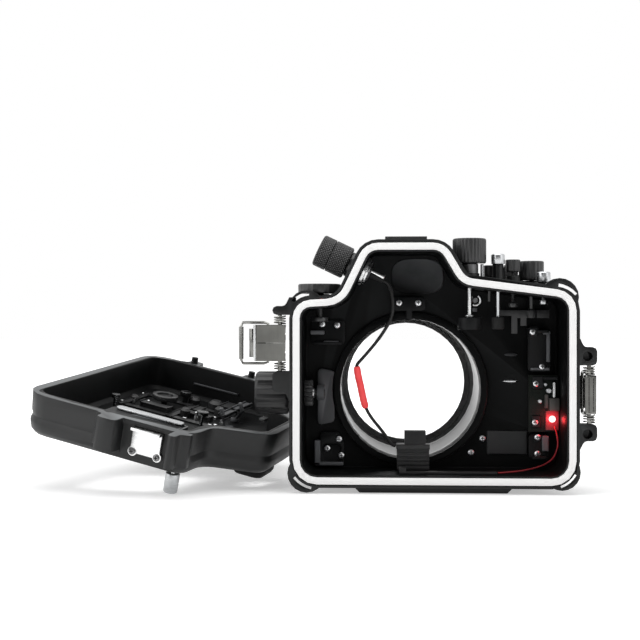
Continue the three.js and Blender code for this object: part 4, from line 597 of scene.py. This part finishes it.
# Each look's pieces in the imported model, and how far their edges are rounded, in millimetres
DRESSED = [
    ("shell", 0.4, ["front_shell"]),
    ("shell", 0.3, ["port_lock_ring"]),
    ("shell", 0.5, ["foot_block"]),
    ("cover", 0.6, ["rear_shell"]),
    ("tube", 0.3, ["port_tube"]),
    ("moulded", 0.3, ["port_front_ring", "zoom_gear", "lever_arm", "hot_shoe_plug", "leak_sensor"]),
    ("moulded", 0.5, ["zoom_knob"]),
    ("battery", 0.3, ["alarm_battery"]),
    ("knob", 0.3, ["accessory_shoe", "sync_bulkhead"]),
    ("knob", 0.2, ["dial_knob", "disc_button", "lever_knob", "side_knob", "mode_dial", "control_wheel"]),
    ("plate", 0.3, ["bracket_top", "bracket_left_upper", "bracket_left_lower"]),
    ("plate", 0.3, ["bracket_right_upper", "bracket_right_lower", "dial_cup"]),
    ("grey_plate", 0.3, ["zoom_bracket", "cover_lever_record", "cover_lever_focus"]),
    ("bright", 0.3, ["catch_left", "catch_right"]),
    ("bright", 0.0, ["dial_shaft"]),
    ("rubber", 0.3, ["cord_boot", "push_button_foot", "eyepiece"]),
    ("silver", 0.2, ["push_button", "rear_top_button"]),
    ("silver", 0.3, ["pocket_strip"]),
    ("rod", 0.2, [f"cover_button_{place}" for place in ("info", "play", "set", "corner")]),
    ("steel", 0.0, ["latch_left_pin", "latch_right_pin", "latch_left_bail", "latch_right_bail"]),
    ("steel", 0.2, ["latch_left_lever", "latch_right_lever"]),
    ("glass", 0.0, ["port_glass", "screen_window", "eyepiece_glass"]),
    ("board", 0.2, ["alarm_board"]),
    ("lamp", 0.0, ["alarm_lamp"]),
    ("seal", 0.4, ["main_seal"]),
]


def dress(piece, look, width):
    piece.data.materials.clear()
    piece.data.materials.append(looks[look])
    soften(piece, width)


for dressed_look, edge_width, names in DRESSED:
    for node_name in names:
        dress(nodes[node_name], dressed_look, edge_width * MM)


# Mesh helpers for the scene's own pieces
def finish_mesh(bm, name):
    """Turns closed solids outward; the single faces of a screw's cross look outward already."""
    bmesh.ops.recalc_face_normals(bm, faces=[face for face in bm.faces if face.material_index == 0])
    mesh = bpy.data.meshes.new(name)
    bm.to_mesh(mesh)
    bm.free()
    return mesh


def finish_piece(bm, name, look, body, softened=True):
    """Makes a piece of the scene's own that rides a body."""
    mesh = finish_mesh(bm, name)
    mesh.materials.append(looks[look])
    piece = new_object(name, mesh)
    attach(piece, body)
    if softened:
        soften(piece)
    return piece


def turn_to(axis):
    return axis.normalized().to_track_quat("Z", "Y").to_matrix().to_4x4()


def lathe(bm, profile, base, axis, sides, uv_layer=None):
    """Adds a turned solid: profile is (radius, height) pairs in millimetres up the axis from its base."""
    place = Matrix.Translation(base) @ turn_to(axis)
    rings = []
    for radius, height in profile:
        if radius == 0:
            rings.append([bm.verts.new(place @ point(0, 0, height))])
            continue
        ring = []
        for k in range(sides):
            angle = FULL_TURN * k / sides
            spot = point(radius * math.cos(angle), radius * math.sin(angle), height)
            ring.append(bm.verts.new(place @ spot))
        rings.append(ring)
    travelled = 0.0
    for (low, high), (start, end) in zip(zip(rings, rings[1:]), zip(profile, profile[1:])):
        step = math.dist(start, end) * MM
        for k in range(sides):
            following = (k + 1) % sides
            corners = [low[k % len(low)], low[following % len(low)],
                       high[following % len(high)], high[k % len(high)]]
            unique = list(dict.fromkeys(corners))
            if len(unique) < 3:
                continue
            face = bm.faces.new(unique)
            face.smooth = True
            if uv_layer is not None:
                share = {0: k, 1: k + 1, 2: k + 1, 3: k}
                for loop in face.loops:
                    index = corners.index(loop.vert)
                    height = travelled if index < 2 else travelled + step
                    loop[uv_layer].uv = (share[index] / sides, height)
        travelled += step


# The cords come first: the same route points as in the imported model
UPPER_ROUTE = [
    (-33.8, -4, 146.5), (-32.4, -4, 145.8), (-30.3, -4.1, 143.5), (-28.6, -4.3, 139.2), (-27.5, -4.2, 131.7),
    (-27.7, -4, 124.7), (-29.5, -3.8, 118.6), (-33.7, -3.4, 111.3), (-38.8, -3, 104), (-44.9, -2.4, 96.6),
    (-50.2, -2, 90.6), (-52.3, -1.9, 88.2), (-52.8, -1.8, 86.8),
]
SLEEVE_ROUTE = [(-52.85, -1.7, 86.3), (-51.9, -1, 80), (-50, 0, 71.5), (-48, 1.2, 62), (-46.5, 2, 57)]
LOWER_ROUTE = [
    (-46.3, 2.1, 56.7), (-44.4, 2.8, 52.8), (-41, 3.8, 47.8), (-36.5, 5, 42.2), (-32.6, 6.3, 37),
    (-29.8, 7.6, 32.4), (-27.6, 8.2, 30.1), (-25.5, 8.3, 29.5),
]
LEAD_ROUTE = [
    (86.6, 7.2, 43.4), (86.8, 5.4, 42.8), (87.8, 3.6, 38.6), (88.2, 1, 32), (86.4, -1.4, 26),
    (83, -4, 21.6), (77, -7, 18.2), (69, -9.6, 16), (60.5, -11.8, 14.6), (52, -12.8, 13.8),
    (47.4, -13, 13.4), (44.9, -13, 13.3),
]
CORD_RADIUS = 1.15
SLEEVE_RADIUS = 2.5
SLEEVE_RIPPLE = 0.06
SLEEVE_RIPPLE_TURN = 1.9
SLEEVE_END_SHARE = 0.75
SLEEVE_END_RINGS = 2
SLEEVE_SIDES = 20
LEAD_RADIUS = 0.6
SMOOTH_STEPS = 6


def smooth_route(route):
    """Points on a smooth curve through the route, a few for each stretch, in metres."""
    spots = [Vector(spot) * MM for spot in route]
    ends = [2 * spots[0] - spots[1], *spots, 2 * spots[-1] - spots[-2]]
    points = []
    for k in range(1, len(ends) - 2):
        before, start, end, after = ends[k - 1:k + 3]
        for step in range(SMOOTH_STEPS):
            t = step / SMOOTH_STEPS
            pull = (2 * before - 5 * start + 4 * end - after) * t * t
            curl = (3 * start - before - 3 * end + after) * t * t * t
            points.append(0.5 * (2 * start + (end - before) * t + pull + curl))
    points.append(spots[-1])
    return points


def curve_piece(name, points, radius, look, body):
    """A round wire or cord along points in metres, with its radius in millimetres."""
    data = bpy.data.curves.new(name, "CURVE")
    data.dimensions = "3D"
    data.bevel_depth = radius * MM
    data.bevel_resolution = 4
    data.use_fill_caps = True
    spline = data.splines.new("POLY")
    spline.points.add(len(points) - 1)
    for spot, place in zip(spline.points, points):
        spot.co = (*place, 1.0)
    spline.use_smooth = True
    data.materials.append(looks[look])
    piece = new_object(name, data)
    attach(piece, body)
    return piece


def swept_tube(bm, points, radii, sides):
    """A closed tube along points in metres, whose radius follows a list in millimetres."""
    rings = []
    side = Vector((0.0, 1.0, 0.0))
    for k, place in enumerate(points):
        along = (points[min(k + 1, len(points) - 1)] - points[max(k - 1, 0)]).normalized()
        across = along.cross(side).normalized()
        over = across.cross(along)
        ring = []
        for j in range(sides):
            angle = FULL_TURN * j / sides
            reach = across * math.cos(angle) + over * math.sin(angle)
            ring.append(bm.verts.new(place + radii[k] * MM * reach))
        rings.append(ring)
    for low, high in zip(rings, rings[1:]):
        for j in range(sides):
            following = (j + 1) % sides
            face = bm.faces.new([low[j], low[following], high[following], high[j]])
            face.smooth = True
    bm.faces.new(rings[0])
    bm.faces.new(rings[-1])


def shrunk_sleeve():
    """The splice's sleeve, shrunk a little unevenly and drawn in at both ends."""
    points = smooth_route(SLEEVE_ROUTE)
    last = len(points) - 1
    radii = []
    for k in range(last + 1):
        inward = min(k, last - k) / SLEEVE_END_RINGS
        taper = min(1.0, SLEEVE_END_SHARE + (1 - SLEEVE_END_SHARE) * inward)
        radii.append(SLEEVE_RADIUS * taper + SLEEVE_RIPPLE * math.sin(SLEEVE_RIPPLE_TURN * k))
    bm = bmesh.new()
    swept_tube(bm, points, radii, SLEEVE_SIDES)
    sleeve = finish_piece(bm, "splice_sleeve_shrunk", "sleeve", "front", softened=False)
    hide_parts("splice_sleeve")
    return sleeve


def make_cords():
    sleeve = shrunk_sleeve()
    whole = smooth_route(UPPER_ROUTE + SLEEVE_ROUTE + LOWER_ROUTE)
    sync = curve_piece("sync_cord", whole, CORD_RADIUS, "cord", "front")
    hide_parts("sync_cord_upper", "sync_cord_lower")
    lead_points = smooth_route(LEAD_ROUTE)
    lead = curve_piece("leak_wire", lead_points, LEAD_RADIUS, "red_wire", "front")
    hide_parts("leak_lead")


make_cords()


# Screws: a domed head with a dark cross, on the face that carries it. The head's outline is in
# shares of its radius and height, and the height and the cross are shares of the radius.
SCREW_SIDES = 20
HEAD_SHARES = [(1.0, 0.0), (1.0, 0.35), (0.86, 0.75), (0.55, 1.0), (0.0, 1.0)]
HEAD_HEIGHT_SHARE = 0.55
CROSS_WIDE_SHARE = 0.55
CROSS_NARROW_SHARE = 0.14
CROSS_LIFT_SHARE = 1.04


def screw(bm, place, axis, radius):
    height = HEAD_HEIGHT_SHARE * radius
    lathe(bm, [(out * radius, up * height) for out, up in HEAD_SHARES], place, axis, SCREW_SIDES)
    stand = Matrix.Translation(place) @ turn_to(axis)
    wide, narrow = CROSS_WIDE_SHARE * radius, CROSS_NARROW_SHARE * radius
    for across, up in ((wide, narrow), (narrow, wide)):
        corners = [(-across, -up), (across, -up), (across, up), (-across, up)]
        spots = [stand @ point(x, y, CROSS_LIFT_SHARE * height) for x, y in corners]
        face = bm.faces.new([bm.verts.new(spot) for spot in spots])
        face.material_index = 1


def screws_piece(name, spots, radius, body, look="screw"):
    """Screws on spots, each a place and the axis that its head looks along."""
    bm = bmesh.new()
    for place, axis in spots:
        screw(bm, place, axis, radius)
    piece = finish_piece(bm, name, look, body, softened=False)
    piece.data.materials.append(looks["rubber"])


# Each screw's X, Z and the Y of the face under it
FRONT_SCREWS = [
    (-22.8, 131.3, 11.6), (-9.1, 131.3, 11.6), (-78.0, 116.0, 14), (-67.2, 115.4, 14), (-74.2, 26.9, 12),
    (-64.2, 22.0, 12), (-65.8, 33.6, 12), (37.1, 33.9, 18), (28.9, 23.8, 18), (70.9, 110.7, 2.8),
    (78.4, 86.0, 9), (73.9, 73.9, 8.1), (73.2, 46.4, 8.1), (75.1, 35.8, 9), (75.1, 24.1, 9),
]
FRONT_SCREW_RADIUS = 2.35
screws_piece(
    "front_screws", [(point(x, y, z), BACK) for x, z, y in FRONT_SCREWS], FRONT_SCREW_RADIUS, "front")

# The X and Z of the screws on the cover's floor
COVER_SCREWS = [
    (5.8, 28.8), (41.5, 28.4), (11.9, 47.9), (26.1, 63.1), (27.3, 73.8), (26.4, 95.9), (30.7, 99.1),
    (22.8, 106.1),
]
COVER_SCREW_RADIUS = 1.7
screws_piece(
    "cover_screws", [(on_floor(x, 0, z), COVER_IN) for x, z in COVER_SCREWS], COVER_SCREW_RADIUS, "cover")

# The two screws of each catch stand on its lobes, over and under the catch's middle
CATCH_SCREW_RADIUS = 2.5
CATCH_FACE_X = 98.7
CATCH_LOBE_Y = -21.0
CATCH_LOBE_UP = 9.3
CATCH_MIDDLES = {-1: 103.3, 1: 68.3}
screws_piece("catch_screws", [
    (on_cover(side * CATCH_FACE_X, CATCH_LOBE_Y, middle + end * CATCH_LOBE_UP), side * COVER_SIDE)
    for side, middle in CATCH_MIDDLES.items() for end in (-1, 1)], CATCH_SCREW_RADIUS, "cover", "collar")


# Small pieces on the inside of the front half, each standing on the face behind it
def block(bm, across, along, up, rounding, place):
    """A box between pairs of millimetres across X, along Y and up Z, with rounded edges."""
    made = bmesh.ops.create_cube(bm, size=1.0)["verts"]
    for vert in made:
        vert.co = place(*[
            (pair[0] + pair[1]) / 2 + part * (pair[1] - pair[0])
            for part, pair in zip(vert.co, (across, along, up))])
    bm.edges.ensure_lookup_table()
    bmesh.ops.bevel(
        bm, geom=[edge for edge in bm.edges if set(edge.verts) <= set(made)],
        offset=rounding * MM, segments=2, affect="EDGES", clamp_overlap=True)


def blocks_piece(name, boxes, look, body, rounding=0.4, place=point):
    bm = bmesh.new()
    for across, along, up in boxes:
        block(bm, across, along, up, rounding, place)
    finish_piece(bm, name, look, body)


STUD_SIDES = 24


def studs_piece(name, studs, look, body, top=0.25):
    """Round studs: each a place, an axis, a radius and a height in millimetres, with a rounded top."""
    bm = bmesh.new()
    for place, axis, radius, height in studs:
        soft = top * radius
        profile = [(0, 0), (radius, 0), (radius, height - soft), (radius - soft, height), (0, height)]
        lathe(bm, profile, place, axis, STUD_SIDES)
    finish_piece(bm, name, look, body)


BRACKET_FACE = 9.0
LUG_FACE = 2.8
blocks_piece("bracket_lips", [
    ((78.6, 84.0), (BRACKET_FACE - 2.6, BRACKET_FACE), (108.8, 111.2)),
    ((81.2, 83.8), (BRACKET_FACE - 2.6, BRACKET_FACE), (89.2, 109.2)),
    ((70.0, 84.0), (BRACKET_FACE - 0.8, BRACKET_FACE), (83.0, 85.6)),
    ((78.2, 83.0), (BRACKET_FACE - 1.4, BRACKET_FACE), (26.0, 37.0)),
    ((-86.4, -76.2), (10.4, 14.2), (108.6, 111.6)),
    ((-76.8, -66.0), (9.4, 14.2), (102.0, 104.2)),
    ((-83.4, -79.2), (9.6, 12.2), (15.0, 33.0)),
    ((-83.4, -62.6), (9.6, 12.2), (14.8, 17.4)),
], "grey_plate", "front")
blocks_piece("bracket_lug", [
    ((68.6, 75.0), (LUG_FACE, WALL), (107.0, 114.4)),
], "plate", "front", 0.8)
blocks_piece("board_pads", [
    ((71.2, 79.2), (BOARD - 0.9, BOARD), (70.2, 79.4)),
    ((70.6, 77.4), (BOARD - 0.9, BOARD), (42.6, 51.6)),
    ((79.2, 89.2), (BOARD - 2.6, BOARD), (76.6, 79.0)),
], "plate", "front")
blocks_piece("lamp_seat", [
    ((80.6, 89.8), (BOARD - 0.9, BOARD), (41.0, 54.8)),
], "lamp_seat", "front", 0.3)
blocks_piece("battery_clip", [
    ((85.4, 87.0), (BOARD - 3.4, BOARD), (64.4, 75.0)),
], "bright", "front", 0.3)
blocks_piece("battery_holder", [
    ((79.8, 82.2), (BOARD - 3.0, BOARD), (56.8, 66.4)),
], "battery", "front", 0.4)
studs_piece("board_studs", [
    (point(82.6, BOARD, 69.0), BACK, 1.9, 3.0),
    (point(76.4, BOARD, 61.6), BACK, 1.4, 3.2),
    (point(80.4, BOARD, 73.4), BACK, 1.2, 2.0),
], "silver", "front")


LENS_DEPTH = 1.1


def lens_glints(name, places, look):
    """Low lens-shaped pieces on the front wall that stand in for glints, a painted highlight: place, half
    width and half height in millimetres.
    """
    bm = bmesh.new()
    for x, z, wide, tall in places:
        half_size = Matrix.Diagonal((*point(wide, LENS_DEPTH, tall), 1.0))
        shape = Matrix.Translation(point(x, WALL, z)) @ half_size
        bmesh.ops.create_uvsphere(bm, u_segments=24, v_segments=12, radius=1.0, matrix=shape)
    for face in bm.faces:
        face.smooth = True
    finish_piece(bm, name, look, "front", softened=False)


# Painted highlight: the brighter lower glint in silver, the dimmer upper one in grey
lens_glints("wall_button_high", [(57.4, 94.2, 4.6, 1.2)], "grey_plate")
lens_glints("wall_button_low", [(57.2, 75.2, 5.3, 1.3)], "silver")

# The low pad beside the port, and the dome in the hump
blocks_piece("wall_pad_low", [
    ((40.2, 69.3), (WALL - 1.2, WALL), (22.5, 40.2)),
], "pad", "front", 1.0)


DOME_RINGS = 14
DOME_STEPS = 48
DOME_FALL = 1.4
DOME_SQUARENESS = 3


def hump_dome():
    """A low soft-edged dome on the front wall, between an oval and a rectangle."""
    bm = bmesh.new()
    hub = bm.verts.new(point(DOME_MIDDLE[0], WALL - DOME_DEPTH, DOME_MIDDLE[1]))
    rows = []
    for ring in range(1, DOME_RINGS + 1):
        share = ring / DOME_RINGS
        lift = DOME_DEPTH * math.cos(share * math.pi / 2) ** DOME_FALL
        row = []
        for k in range(DOME_STEPS):
            angle = FULL_TURN * k / DOME_STEPS
            side, top = math.cos(angle), math.sin(angle)
            square = (abs(side) ** DOME_SQUARENESS + abs(top) ** DOME_SQUARENESS) ** (-1 / DOME_SQUARENESS)
            across = DOME_HALF[0] * share * square * side
            up = DOME_HALF[1] * share * square * top
            row.append(bm.verts.new(point(DOME_MIDDLE[0] + across, WALL - lift, DOME_MIDDLE[1] + up)))
        rows.append(row)
    for k in range(DOME_STEPS):
        following = (k + 1) % DOME_STEPS
        bm.faces.new([hub, rows[0][k], rows[0][following]])
        for low, high in zip(rows, rows[1:]):
            bm.faces.new([low[k], high[k], high[following], low[following]])
    back = bm.faces.new(rows[-1])
    for face in bm.faces:
        face.smooth = face != back
    finish_piece(bm, "hump_dome", "dome", "front", softened=False)


hump_dome()

# The row of controls on the shoulder
SHOULDER_Y = -6.0
DIAL_X = 25.8
studs_piece("shoulder_pin", [
    (point(34.6, SHOULDER_Y, 141.0), UP, 1.2, 17.0),
], "silver", "front")
studs_piece("dial_collar", [
    (point(DIAL_X, SHOULDER_Y, 149.0), UP, 6.2, 9.4),
], "collar", "front", 0.1)
blocks_piece("shoulder_boss", [
    ((50.5, 61.2), (6.0, 18.0), (142.0, 158.0)),
    ((60.0, 66.5), (18.5, 24.0), (141.0, 151.5)),
], "knob", "front", 1.2)


RING_STEPS = 10
RING_SIDES = 36


def ring_piece(name, place, axis, radius, wire, look, body):
    """A round wire ring, such as a retaining clip; its sizes are in millimetres."""
    bm = bmesh.new()
    profile = []
    for k in range(RING_STEPS + 1):
        angle = FULL_TURN * k / RING_STEPS
        profile.append((radius + wire * math.cos(angle), wire * math.sin(angle)))
    lathe(bm, profile, place, axis, RING_SIDES)
    bmesh.ops.remove_doubles(bm, verts=bm.verts, dist=WELD_GAP)
    finish_piece(bm, name, look, body, softened=False)


ring_piece("dial_shaft_clip", point(DIAL_X, SHOULDER_Y, 121.9), UP, 2.3, 0.9, "bright", "dial")

# An open wire clip on the front wall, round a small pin
CLIP_MIDDLE = (32.0, 133.2)
CLIP_RADIUS = 3.6
CLIP_WIRE = 0.8
CLIP_LIFT = 0.7
CLIP_TURNS = range(-120, 61, 12)
curve_piece("wall_clip", [
    point(CLIP_MIDDLE[0] + CLIP_RADIUS * math.cos(turn * DEGREE), WALL - CLIP_LIFT,
          CLIP_MIDDLE[1] + CLIP_RADIUS * math.sin(turn * DEGREE))
    for turn in CLIP_TURNS], CLIP_WIRE, "bright", "front")
studs_piece("wall_bits", [
    (point(29.5, WALL, 135.3), BACK, 0.9, 1.2),
    (point(CLIP_MIDDLE[0], WALL, CLIP_MIDDLE[1]), BACK, 2.2, 0.9),
], "collar", "front")
blocks_piece("wall_stop", [
    ((29.8, 33.3), (WALL - 1.5, WALL), (124.9, 127.9)),
], "grey_plate", "front")


# Small mechanism parts inside the cover, in the closed cover's millimetres; on its floor, the
# second number is the height over the floor
blocks_piece("cover_frame", [
    ((18.0, 66.0), (0, 1.2), (62.0, 67.0)),
    ((18.0, 23.0), (0, 1.2), (24.0, 104.0)),
    ((61.0, 66.0), (0, 1.2), (24.0, 100.0)),
    ((18.0, 66.0), (0, 1.2), (20.0, 25.0)),
    ((34.0, 40.0), (0, 3.5), (70.0, 92.0)),
    ((24.0, 31.0), (0, 5.0), (36.0, 60.0)),
    ((44.0, 56.0), (0, 4.0), (72.0, 78.0)),
    ((68.0, 84.0), (0, 6.0), (86.0, 96.0)),
], "moulded", "cover", 0.8, on_floor)
blocks_piece("cover_label_plate", [
    ((77.0, 86.5), (0, 1.2), (117.4, 121.4)),
    ((40.6, 44.6), (0, 1.4), (98.4, 101.0)),
], "bright", "cover", 0.3, on_floor)
blocks_piece("cover_wall_ledge", [
    ((90.0, 91.4), (-14.6, -13.6), (50.0, 90.0)),
], "grey_plate", "cover", 0.3, on_cover)
blocks_piece("record_lever_pad", [
    ((24.0, 44.0), (-17.4, -15.4), (103.4, 108.0)),
], "pad", "record_lever", 0.9, on_cover)
blocks_piece("focus_lever_pad", [
    ((50.0, 76.0), (-17.0, -15.0), (103.6, 108.4)),
], "pad", "focus_lever", 0.9, on_cover)
studs_piece("cover_studs", [
    (on_floor(27.1, 0, 28.7), COVER_IN, 1.6, 7.0),
    (on_floor(28.6, 0, 82.8), COVER_IN, 1.6, 7.0),
    (on_floor(59.0, 0, 20.0), COVER_IN, 1.0, 2.4),
    (on_floor(29.1, 0, 40.2), COVER_IN, 1.1, 6.2),
    (on_floor(23.8, 0, 19.7), COVER_IN, 1.1, 2.4),
    (on_floor(41.6, 0, 66.0), COVER_IN, 1.1, 2.4),
    (on_floor(39.6, 0, 54.5), COVER_IN, 1.7, 2.4),
    (on_floor(45.0, 0, 91.8), COVER_IN, 1.2, 2.4),
], "bright", "cover")
studs_piece("cover_drums", [
    (on_floor(27.1, 6.0, 28.7), COVER_IN, 3.4, 2.0),
    (on_floor(44.5, 0, 81.4), COVER_IN, 5.5, 4.5),
    (on_floor(31.0, 0, 72.0), COVER_IN, 4.0, 7.0),
    (on_floor(72.0, 0, 80.0), COVER_IN, 6.0, 8.0),
    (on_floor(52.0, 0, 92.0), COVER_IN, 4.0, 9.0),
    (on_floor(74.0, 0, 60.0), COVER_IN, 5.0, 6.0),
], "moulded", "cover", 0.4)


# The knurled cap of the sync socket, a finer turned piece in place of the plain one
SLOPE_FOOT = Vector((-66.7, -4.0, 136.3))
SLOPE_TOP = Vector((-48.4, -4.0, 174.3))
SLOPE_ALONG = (SLOPE_TOP - SLOPE_FOOT).normalized()
SLOPE_OUT = Vector((-SLOPE_ALONG.z, 0.0, SLOPE_ALONG.x))
SYNC_UP_SLOPE = 23.5
SYNC_SEAT_IN = 3.2
SYNC_AXIS = SLOPE_FOOT + SYNC_UP_SLOPE * SLOPE_ALONG
SYNC_SEAT = SYNC_AXIS - SYNC_SEAT_IN * SLOPE_OUT
CAP_START = 6.0
CAP_LENGTH = 22.8
CAP_RADIUS = 11.4
CAP_BORE = 5.4
CAP_CHAMFER = 0.9
CAP_GROOVE_AT = 12.8
CAP_GROOVE_DEPTH = 1.0
CAP_GROOVE_WIDTH = 0.8
CAP_GROOVE_SLOPE = 0.1
CAP_DISH = 0.5
CAP_DISH_EDGE = 2.2
CAP_DISH_FLOOR = 2.6
CAP_SIDES = 72


def sync_cap():
    bm = bmesh.new()
    layer = bm.loops.layers.uv.new("around_and_along")
    groove_end = CAP_GROOVE_AT + CAP_GROOVE_WIDTH
    groove_floor = CAP_RADIUS - CAP_GROOVE_DEPTH
    profile = [
        (CAP_BORE, 0.0), (CAP_RADIUS - CAP_CHAMFER, 0.0), (CAP_RADIUS, CAP_CHAMFER),
        (CAP_RADIUS, CAP_GROOVE_AT), (groove_floor, CAP_GROOVE_AT + CAP_GROOVE_SLOPE),
        (groove_floor, groove_end - CAP_GROOVE_SLOPE), (CAP_RADIUS, groove_end),
        (CAP_RADIUS, CAP_LENGTH - CAP_CHAMFER), (CAP_RADIUS - CAP_CHAMFER, CAP_LENGTH),
        (CAP_RADIUS - CAP_DISH_EDGE, CAP_LENGTH),
        (CAP_RADIUS - CAP_DISH_FLOOR, CAP_LENGTH - CAP_DISH), (0.0, CAP_LENGTH - CAP_DISH)]
    lathe(bm, profile, (SYNC_SEAT + CAP_START * SLOPE_OUT) * MM, SLOPE_OUT, CAP_SIDES, layer)
    piece = finish_piece(bm, "sync_cap_knurled", "knurl", "sync_cap_body")
    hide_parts("sync_cap")


sync_cap()

WASHER_IN = 8.8
WASHER_PROFILE = [
    (0.0, 0.0), (9.6, 0.0), (10.4, 0.5), (10.4, 2.2), (9.6, 2.7), (7.0, 2.7), (7.0, 3.3), (8.6, 3.4),
    (8.6, 4.0), (6.5, 4.5), (0.0, 4.5)]
WASHER_SIDES = 48


def sync_washer():
    """The big washer and lock ring of the sync socket inside the wall, one turned piece."""
    bm = bmesh.new()
    lathe(bm, WASHER_PROFILE, (SYNC_AXIS - WASHER_IN * SLOPE_OUT) * MM, -SLOPE_OUT, WASHER_SIDES)
    piece = finish_piece(bm, "sync_washer_turned", "bright", "front")
    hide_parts("sync_nut")


sync_washer()

BOOT_CLIP_UP_SLOPE = 2.1
BOOT_CLIP_IN = 13.5
BOOT_CLIP = (SYNC_AXIS + BOOT_CLIP_UP_SLOPE * SLOPE_ALONG - BOOT_CLIP_IN * SLOPE_OUT) * MM
studs_piece("boot_clip", [(BOOT_CLIP, -SLOPE_OUT, 1.8, 11.0)], "bright", "front")


# Plates on the latch levers, and the bright end of the zoom shaft
LEVER_FACE = (-27.9, -27.15)
blocks_piece("left_lever_plates", [
    ((-121.4, -101.6), LEVER_FACE, (91.0, 103.0)),
    ((-121.4, -101.6), LEVER_FACE, (103.6, 115.6)),
], "lever_steel", "left_lever", 0.25)
blocks_piece("left_lever_lip", [
    ((-123.4, -121.9), LEVER_FACE, (90.8, 115.8)),
], "bright", "left_lever", 0.3)
blocks_piece("right_lever_plates", [
    ((101.9, 104.4), LEVER_FACE, (56.4, 80.4)),
    ((104.8, 107.4), LEVER_FACE, (56.4, 80.4)),
    ((107.8, 109.6), LEVER_FACE, (56.4, 80.4)),
], "lever_steel", "right_lever", 0.3)
studs_piece("zoom_shaft_end", [
    (point(-83.8, 0.0, 67.6), RIGHT, 3.6, 1.6),
], "bright", "zoom")


# The light: a white room, and a floor that keeps the shadow
FILL = 0.55
ROOM_DIM = 0.12
ROOM_FADE = (-0.75, -0.05)
FLOOR_REACH = 6.0
FLOOR_LIFT = 0.42
NEAR_FLOOR = 0.3
FAR_FLOOR = 0.8


def make_world():
    """White all round, but dim behind the camera, as a room is in front of a lit table."""
    world = bpy.data.worlds.new("white_room")
    bpy.context.scene.world = world
    world.use_nodes = True
    tree = world.node_tree
    background = tree.nodes["Background"]
    background.inputs["Color"].default_value = (1.0, 1.0, 1.0, 1.0)
    rays = add_node(tree, "ShaderNodeLightPath").outputs
    depth = separated(tree, on_piece(tree, "Generated"))["Y"]
    room = spread(tree, depth, ROOM_DIM, 1.0, *ROOM_FADE)
    lit = calculated(tree, "MULTIPLY", room, shared(tree, rays["Is Glossy Ray"], FILL, 1.0))
    clear = calculated(tree, "MAXIMUM", rays["Is Camera Ray"], rays["Is Transmission Ray"])
    feed(background.inputs["Strength"], calculated(tree, "MAXIMUM", lit, clear))


def make_floor():
    mesh = bpy.data.meshes.new("floor")
    corners = [(x * FLOOR_REACH, y * FLOOR_REACH, 0) for x, y in ((-1, -1), (1, -1), (1, 1), (-1, 1))]
    mesh.from_pydata(corners, [], [(0, 1, 2, 3)])
    material, tree, shader = new_material("floor_white", (0.82, 0.82, 0.82), 0.9)
    shader.inputs["Specular IOR Level"].default_value = 0.1
    shader.inputs["Emission Color"].default_value = (1.0, 1.0, 1.0, 1.0)
    distance = from_vectors(tree, "LENGTH", on_piece(tree))
    white = spread(tree, distance, FLOOR_LIFT, 1.0, NEAR_FLOOR, FAR_FLOOR)
    rays = add_node(tree, "ShaderNodeLightPath").outputs
    seen = calculated(tree, "MAXIMUM", rays["Is Camera Ray"], rays["Is Glossy Ray"])
    seen = calculated(tree, "MAXIMUM", seen, rays["Is Transmission Ray"])
    feed(shader.inputs["Emission Strength"], calculated(tree, "MULTIPLY", white, seen))
    mesh.materials.append(material)
    new_object("floor", mesh)


def area_light(name, place, target, size, power):
    data = bpy.data.lights.new(name, "AREA")
    data.shape = "RECTANGLE"
    data.size, data.size_y = size
    data.energy = power
    light = new_object(name, data)
    light.location = place
    light.rotation_euler = (Vector(target) - Vector(place)).to_track_quat("-Z", "Y").to_euler()


ALARM_POWER = 0.009
ALARM_SIZE = 0.002
ALARM_OUT = 6.0
ALARM_LEFT = 1.0


def lamp_glow():
    """The red light that the alarm lamp throws on what is round it."""
    data = bpy.data.lights.new("alarm_glow", "POINT")
    data.color = (1.0, 0.04, 0.05)
    data.energy = ALARM_POWER
    data.shadow_soft_size = ALARM_SIZE
    light = new_object("alarm_glow", data)
    light.location = point(LAMP_X - ALARM_LEFT, BOARD - ALARM_OUT, LAMP_Z)


# Each softbox: its name, place, target and size in metres, and its power
SOFTBOXES = [
    ("top_softbox", (-0.1, -0.1, 1.5), (-0.05, 0.0, 0.05), (1.6, 1.2), 14.0),
    ("left_softbox", (-1.3, -0.7, 0.7), (-0.1, 0.0, 0.08), (0.8, 1.0), 7.0),
    ("right_softbox", (1.2, -0.8, 0.6), (0.0, 0.0, 0.08), (0.8, 1.0), 4.0),
]

make_world()
make_floor()
lamp_glow()
for softbox in SOFTBOXES:
    area_light(*softbox)

bpy.context.scene.view_settings.view_transform = "Standard"
